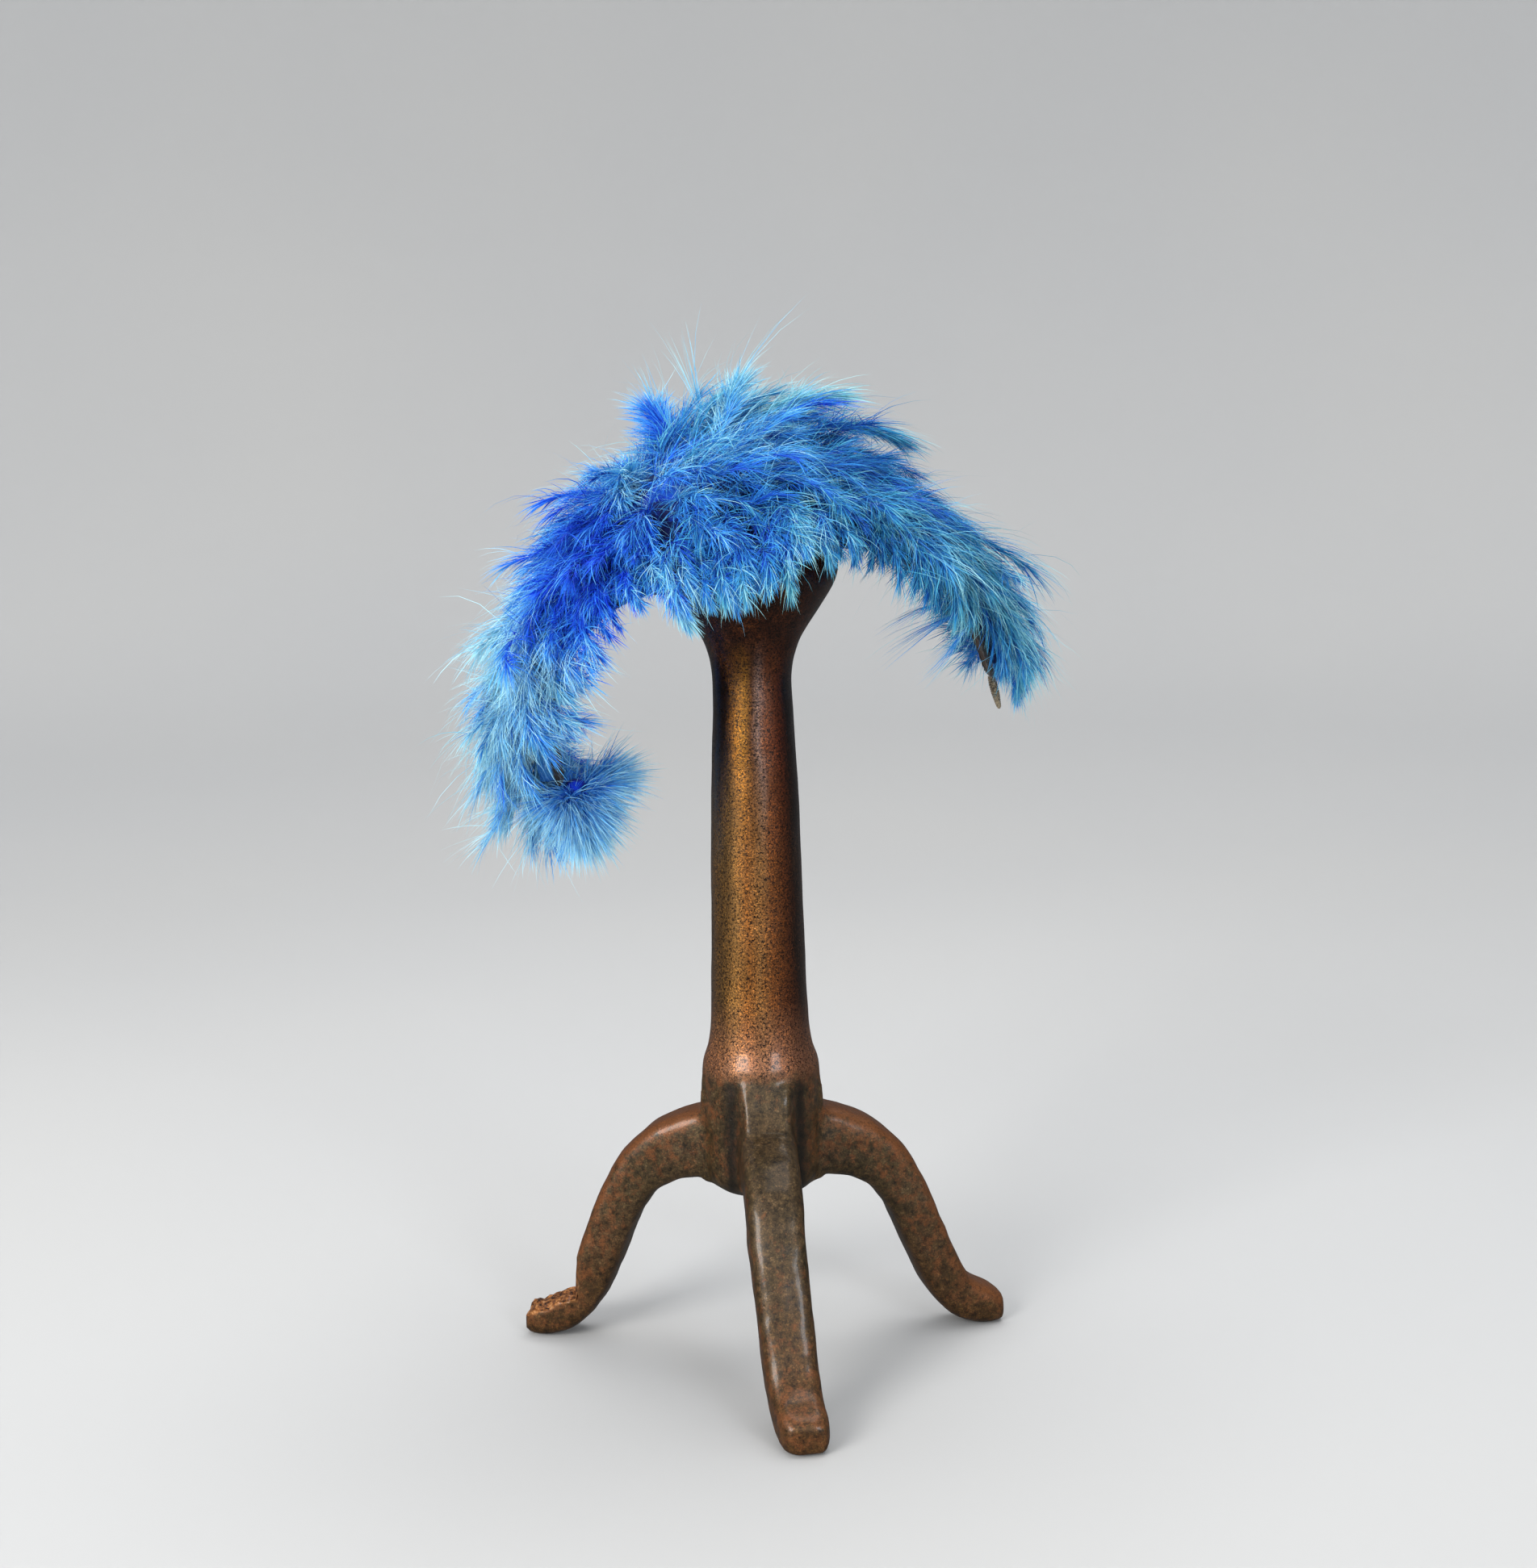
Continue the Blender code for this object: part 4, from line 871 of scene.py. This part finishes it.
SPRAYS = {  # single plumes: angle, share, height, heading, lifts, shaft, barb, spread, paler twice, tone, barbs
    "middle_marabou": [
        (-15, 0.62, 17, 258, 40, -20, 24, 15, 1.1, 0.1, 0.4, 0.4, 500),
        (-19, 0.52, 14, 232, 35, -15, 22, 14, 1.0, 0.05, 0.3, 0.3, 400),
        (-14, 0.88, 22, 262, 22, -18, 25, 16, 1.1, 0.00, 0.35, 0.3, 300),
        (-21, 0.74, 18, 285, 24, -18, 22, 15, 1.1, -0.05, 0.3, 0.3, 240)],
    "back_marabou": [
        (-5, 0.8, 27, 128, 66, 76, 16, 15, 1.2, -0.45, 0.5, 0.2, 600),
        (3, 0.76, 28, 40, 52, 56, 18, 16, 1.0, 0.05, 0.4, 0.6, 600),
        (11, 0.8, 31, 15, 30, 15, 26, 17, 0.9, 0.15, 0.5, 1.0, 600),
        (21, 0.82, 28, 5, 20, 0, 28, 19, 0.8, 0.15, 0.5, 1.0, 600),
        (1, 0.8, 30, 75, 86, 88, 5, 42, 0.1, 0.3, 0.55, 0.5, 18),
        (-5, 0.8, 30, 110, 82, 84, 5, 30, 0.2, 0.3, 0.55, 0.5, 18),
        (4, 0.8, 30, 20, 68, 52, 6, 46, 0.35, 0.2, 0.45, 0.5, 30),
        (14, 0.8, 30, 12, 30, 15, 8, 40, 0.3, 0.2, 0.4, 0.6, 20)],
    "right_arm_marabou": [
        (64, -0.06, 0, 175, -62, -72, 6, 30, 0.55, 0.0, 0.25, 0.4, 50),
        (68, -0.06, 0, 175, -78, -86, 6, 34, 0.6, 0.0, 0.25, 0.4, 60),
        (72, -0.06, 0, 0, -72, -62, 6, 30, 0.6, 0.0, 0.25, 0.4, 60),
        (80, 0.6, 6, 0, 5, -5, 8, 26, 0.4, -0.1, 0.3, 0.3, 80)],
    "front_marabou": [
        (-15, 0.03, 6, 250, -5, -75, 17, 12, 1.1, 0.12, 0.48, 0.5, 420)],
}


def put_feathers(name, bed, curves, width, facing, root, tip, tone):
    """A bed of down and its barbs as one mesh, with the paleness and tone at each point: the dye's, with painted
    shade added on the bed.
    """
    bed_points, bed_faces, bed_paleness_with_painted_shade, bed_tone = bed
    points, faces, along = barb_ribbons(within_box(curves), width, facing @ HAT_TURN.T)
    item = put_mesh(name, *join([(place_hat(bed_points), bed_faces), (points, faces)]), MARABOU)
    pale = root[:, None] + (tip - root)[:, None] * along[None, :] ** 1.3
    store(item.data, pale=np.concatenate([bed_paleness_with_painted_shade, pale.reshape(-1)]),
          teal=np.concatenate([bed_tone, np.repeat(tone, len(along))]))
    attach(item, "root")
    return item


for name, node, slot, angles, shares, count, plumes, length, spread, fullness, seed in GROUPS:
    rng = np.random.default_rng(seed)
    lots = [plume_barbs(rng, strew_plumes(rng, plumes, angles, shares, length, spread), count)]
    lots += [plume_barbs(rng, np.array([row[:-1]], float), row[-1], 0.0) for row in SPRAYS.get(name, [])]
    if name in CURTAINS:
        count, plumes = CURTAINS[name]
        lots.append(plume_barbs(rng, strew_curtain(rng, plumes, angles, fullness), count))
    barbs = [np.concatenate(column) for column in zip(*lots)]
    bed_angles = np.clip(angles, -FRAME_SPAN - 1, FRAME_SPAN + 1)
    piece = put_feathers(name, down_bed(bed_angles, np.clip(shares, 0, 1), fullness), *barbs)
    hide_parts(node)

# The tuft at the left end. One full marabou feather is sewn under the end of the frame, and its down curls
# under and inwards, hiding the wire there.
TUFT_RADIUS = 5.4
TUFT_BARBS = 9500
TUFT_LOCKS = 42

front, back = edge_angles(FRAME_SPAN)
beyond = 2 * WIRE_RADIUS + WIRE_GAP + TUFT_RADIUS - 0.6
middle, forward, backward, normal = shell_point(-FRAME_SPAN - math.degrees(beyond / HEAD[2]), (front + back) / 2,
                                                -TUFT_RADIUS)
rng = np.random.default_rng(31)
locks = unit(rng.normal(0, 1, (TUFT_LOCKS, 3)) - forward * 0.25)
locks = unit(locks - normal * np.clip(locks @ normal, 0, None)[:, None] * 0.7
             - forward * np.clip(locks @ forward, 0, None)[:, None] * 0.9)
way = locks[rng.integers(0, TUFT_LOCKS, TUFT_BARBS)]
start = middle + way * TUFT_RADIUS * rng.uniform(0.4, 2.3, TUFT_BARBS)[:, None]
fan = rng.normal(0, 0.42, (TUFT_BARBS, 3))
leave, arrive = unit(way + fan), unit(way * 1.1 - normal * 0.1 - forward * 0.45 + fan)
share = (np.arange(BARB_STEPS) + 0.5) / BARB_STEPS
heading = unit(leave[:, None] * (1 - share)[None, :, None] + arrive[:, None] * share[None, :, None])
reach = rng.uniform(8, 24, TUFT_BARBS) / BARB_STEPS
curves = start[:, None] + np.cumsum(np.concatenate([0 * heading[:, :1], heading * reach[:, None, None]], 1), 1)
fall, turn = np.radians(np.linspace(8, 172, 22))[:, None], np.radians(np.arange(0, 360, 15))[None, :]
ball = (np.cos(fall) * np.ones_like(turn))[..., None] * forward + (np.sin(fall) * np.cos(turn))[..., None] * normal
core = TUFT_RADIUS * 0.9
ball = middle + core * (ball + (np.sin(fall) * np.sin(turn))[..., None] * backward)
points, faces = closed(ball, [middle + forward * core, middle - forward * core])
# Painted shade: the tuft's core is near-black navy, deeper than any of its barbs.
bed = points, faces, np.full(len(points), 0.05), np.zeros(len(points))
tuft = put_feathers("end_tuft_marabou", bed, curves, BARB_WIDTH * rng.uniform(0.6, 1.3, TUFT_BARBS),
                    unit(rng.normal(0, 1, (TUFT_BARBS, 3))), rng.normal(0.38, 0.16, TUFT_BARBS),
                    rng.normal(1.12, 0.14, TUFT_BARBS), rng.normal(0.05, 0.1, TUFT_BARBS))
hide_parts("end_tuft")

# The studio. A pale dish of floor that turns up into a wall all round, two soft lights in front, one above
# and a soft sky, with the camera where the photograph was taken from: a little above the stand's middle.
FLOOR_GREY = (0.525, 0.53, 0.535)
CAMERA_PLACE = (5.08, -673.8, 293.3)  # from the foot of the column
CAMERA_DIP = 6.8
CAMERA_ROLL = 1.21
LENS = 42.69

dish = lathed(resample([(0, 0), (1300, 0), (2000, 120), (2500, 700), (2600, 3200)], 120.0, 4)[1:])
fan = np.arange(dish.shape[1])
dish_faces = [grid_faces(*dish.shape[:2], wrap_columns=True),
              np.stack([np.full(len(fan), dish.size // 3), np.roll(fan, -1), fan], 1)]
paper = Finish("pale paper", Roughness=0.9)
paper.set("Base Color", paper.ramp(paper.noise(900.0, 2.0), (0.3, FLOOR_GREY), (0.7, (0.55, 0.55, 0.545))))
backdrop = put_mesh("pale_backdrop", np.concatenate([dish.reshape(-1, 3), [(0, 0, 0)]]), dish_faces, paper.material)
backdrop.visible_shadow = False
backdrop.visible_glossy = False

LIGHTS_AIM = Vector((0.0, 0.0, 0.2))
for name, place, size, power, colour in (
        ("window light", (-1.15, -1.35, 0.95), 0.9, 32.0, (1.0, 0.98, 0.95)),
        ("fill light", (0.95, -1.5, 0.7), 0.5, 9.0, (0.9, 0.95, 1.0)),
        ("top light", (0.2, 0.3, 1.9), 1.4, 17.0, (1.0, 0.99, 0.97))):
    lamp = bpy.data.lights.new(name, "AREA")
    lamp.size, lamp.energy, lamp.color = size, power, colour
    item = bpy.data.objects.new(name, lamp)
    bpy.context.scene.collection.objects.link(item)
    turn = (Vector(place) - LIGHTS_AIM).to_track_quat("Z", "Y")
    item.matrix_world = Matrix.LocRotScale(Vector(place), turn, None)

world = bpy.data.worlds.new("soft sky")
world.use_nodes = True
sky = world.node_tree.nodes["Background"]
sky.inputs["Color"].default_value = (0.95, 0.97, 1.0, 1.0)
rays = world.node_tree.nodes.new("ShaderNodeLightPath")
strength = world.node_tree.nodes.new("ShaderNodeMapRange")
strength.inputs["To Min"].default_value, strength.inputs["To Max"].default_value = 1.1, 0.1
world.node_tree.links.new(rays.outputs["Is Glossy Ray"], strength.inputs["Value"])
world.node_tree.links.new(strength.outputs["Result"], sky.inputs["Strength"])
bpy.context.scene.world = world
bpy.context.scene.view_settings.view_transform = "Standard"

camera_data = bpy.data.cameras.new("camera")
camera_data.lens = LENS
camera_data.sensor_width = 36.0
camera_data.clip_start = 0.01
camera = bpy.data.objects.new("camera", camera_data)
bpy.context.scene.collection.objects.link(camera)
camera.location = (axis + np.array(CAMERA_PLACE)) * MM
tilt = Matrix.Rotation(math.radians(90 - CAMERA_DIP), 3, "X") @ Matrix.Rotation(math.radians(-CAMERA_ROLL), 3, "Z")
camera.rotation_euler = tilt.to_euler()
bpy.context.scene.camera = camera
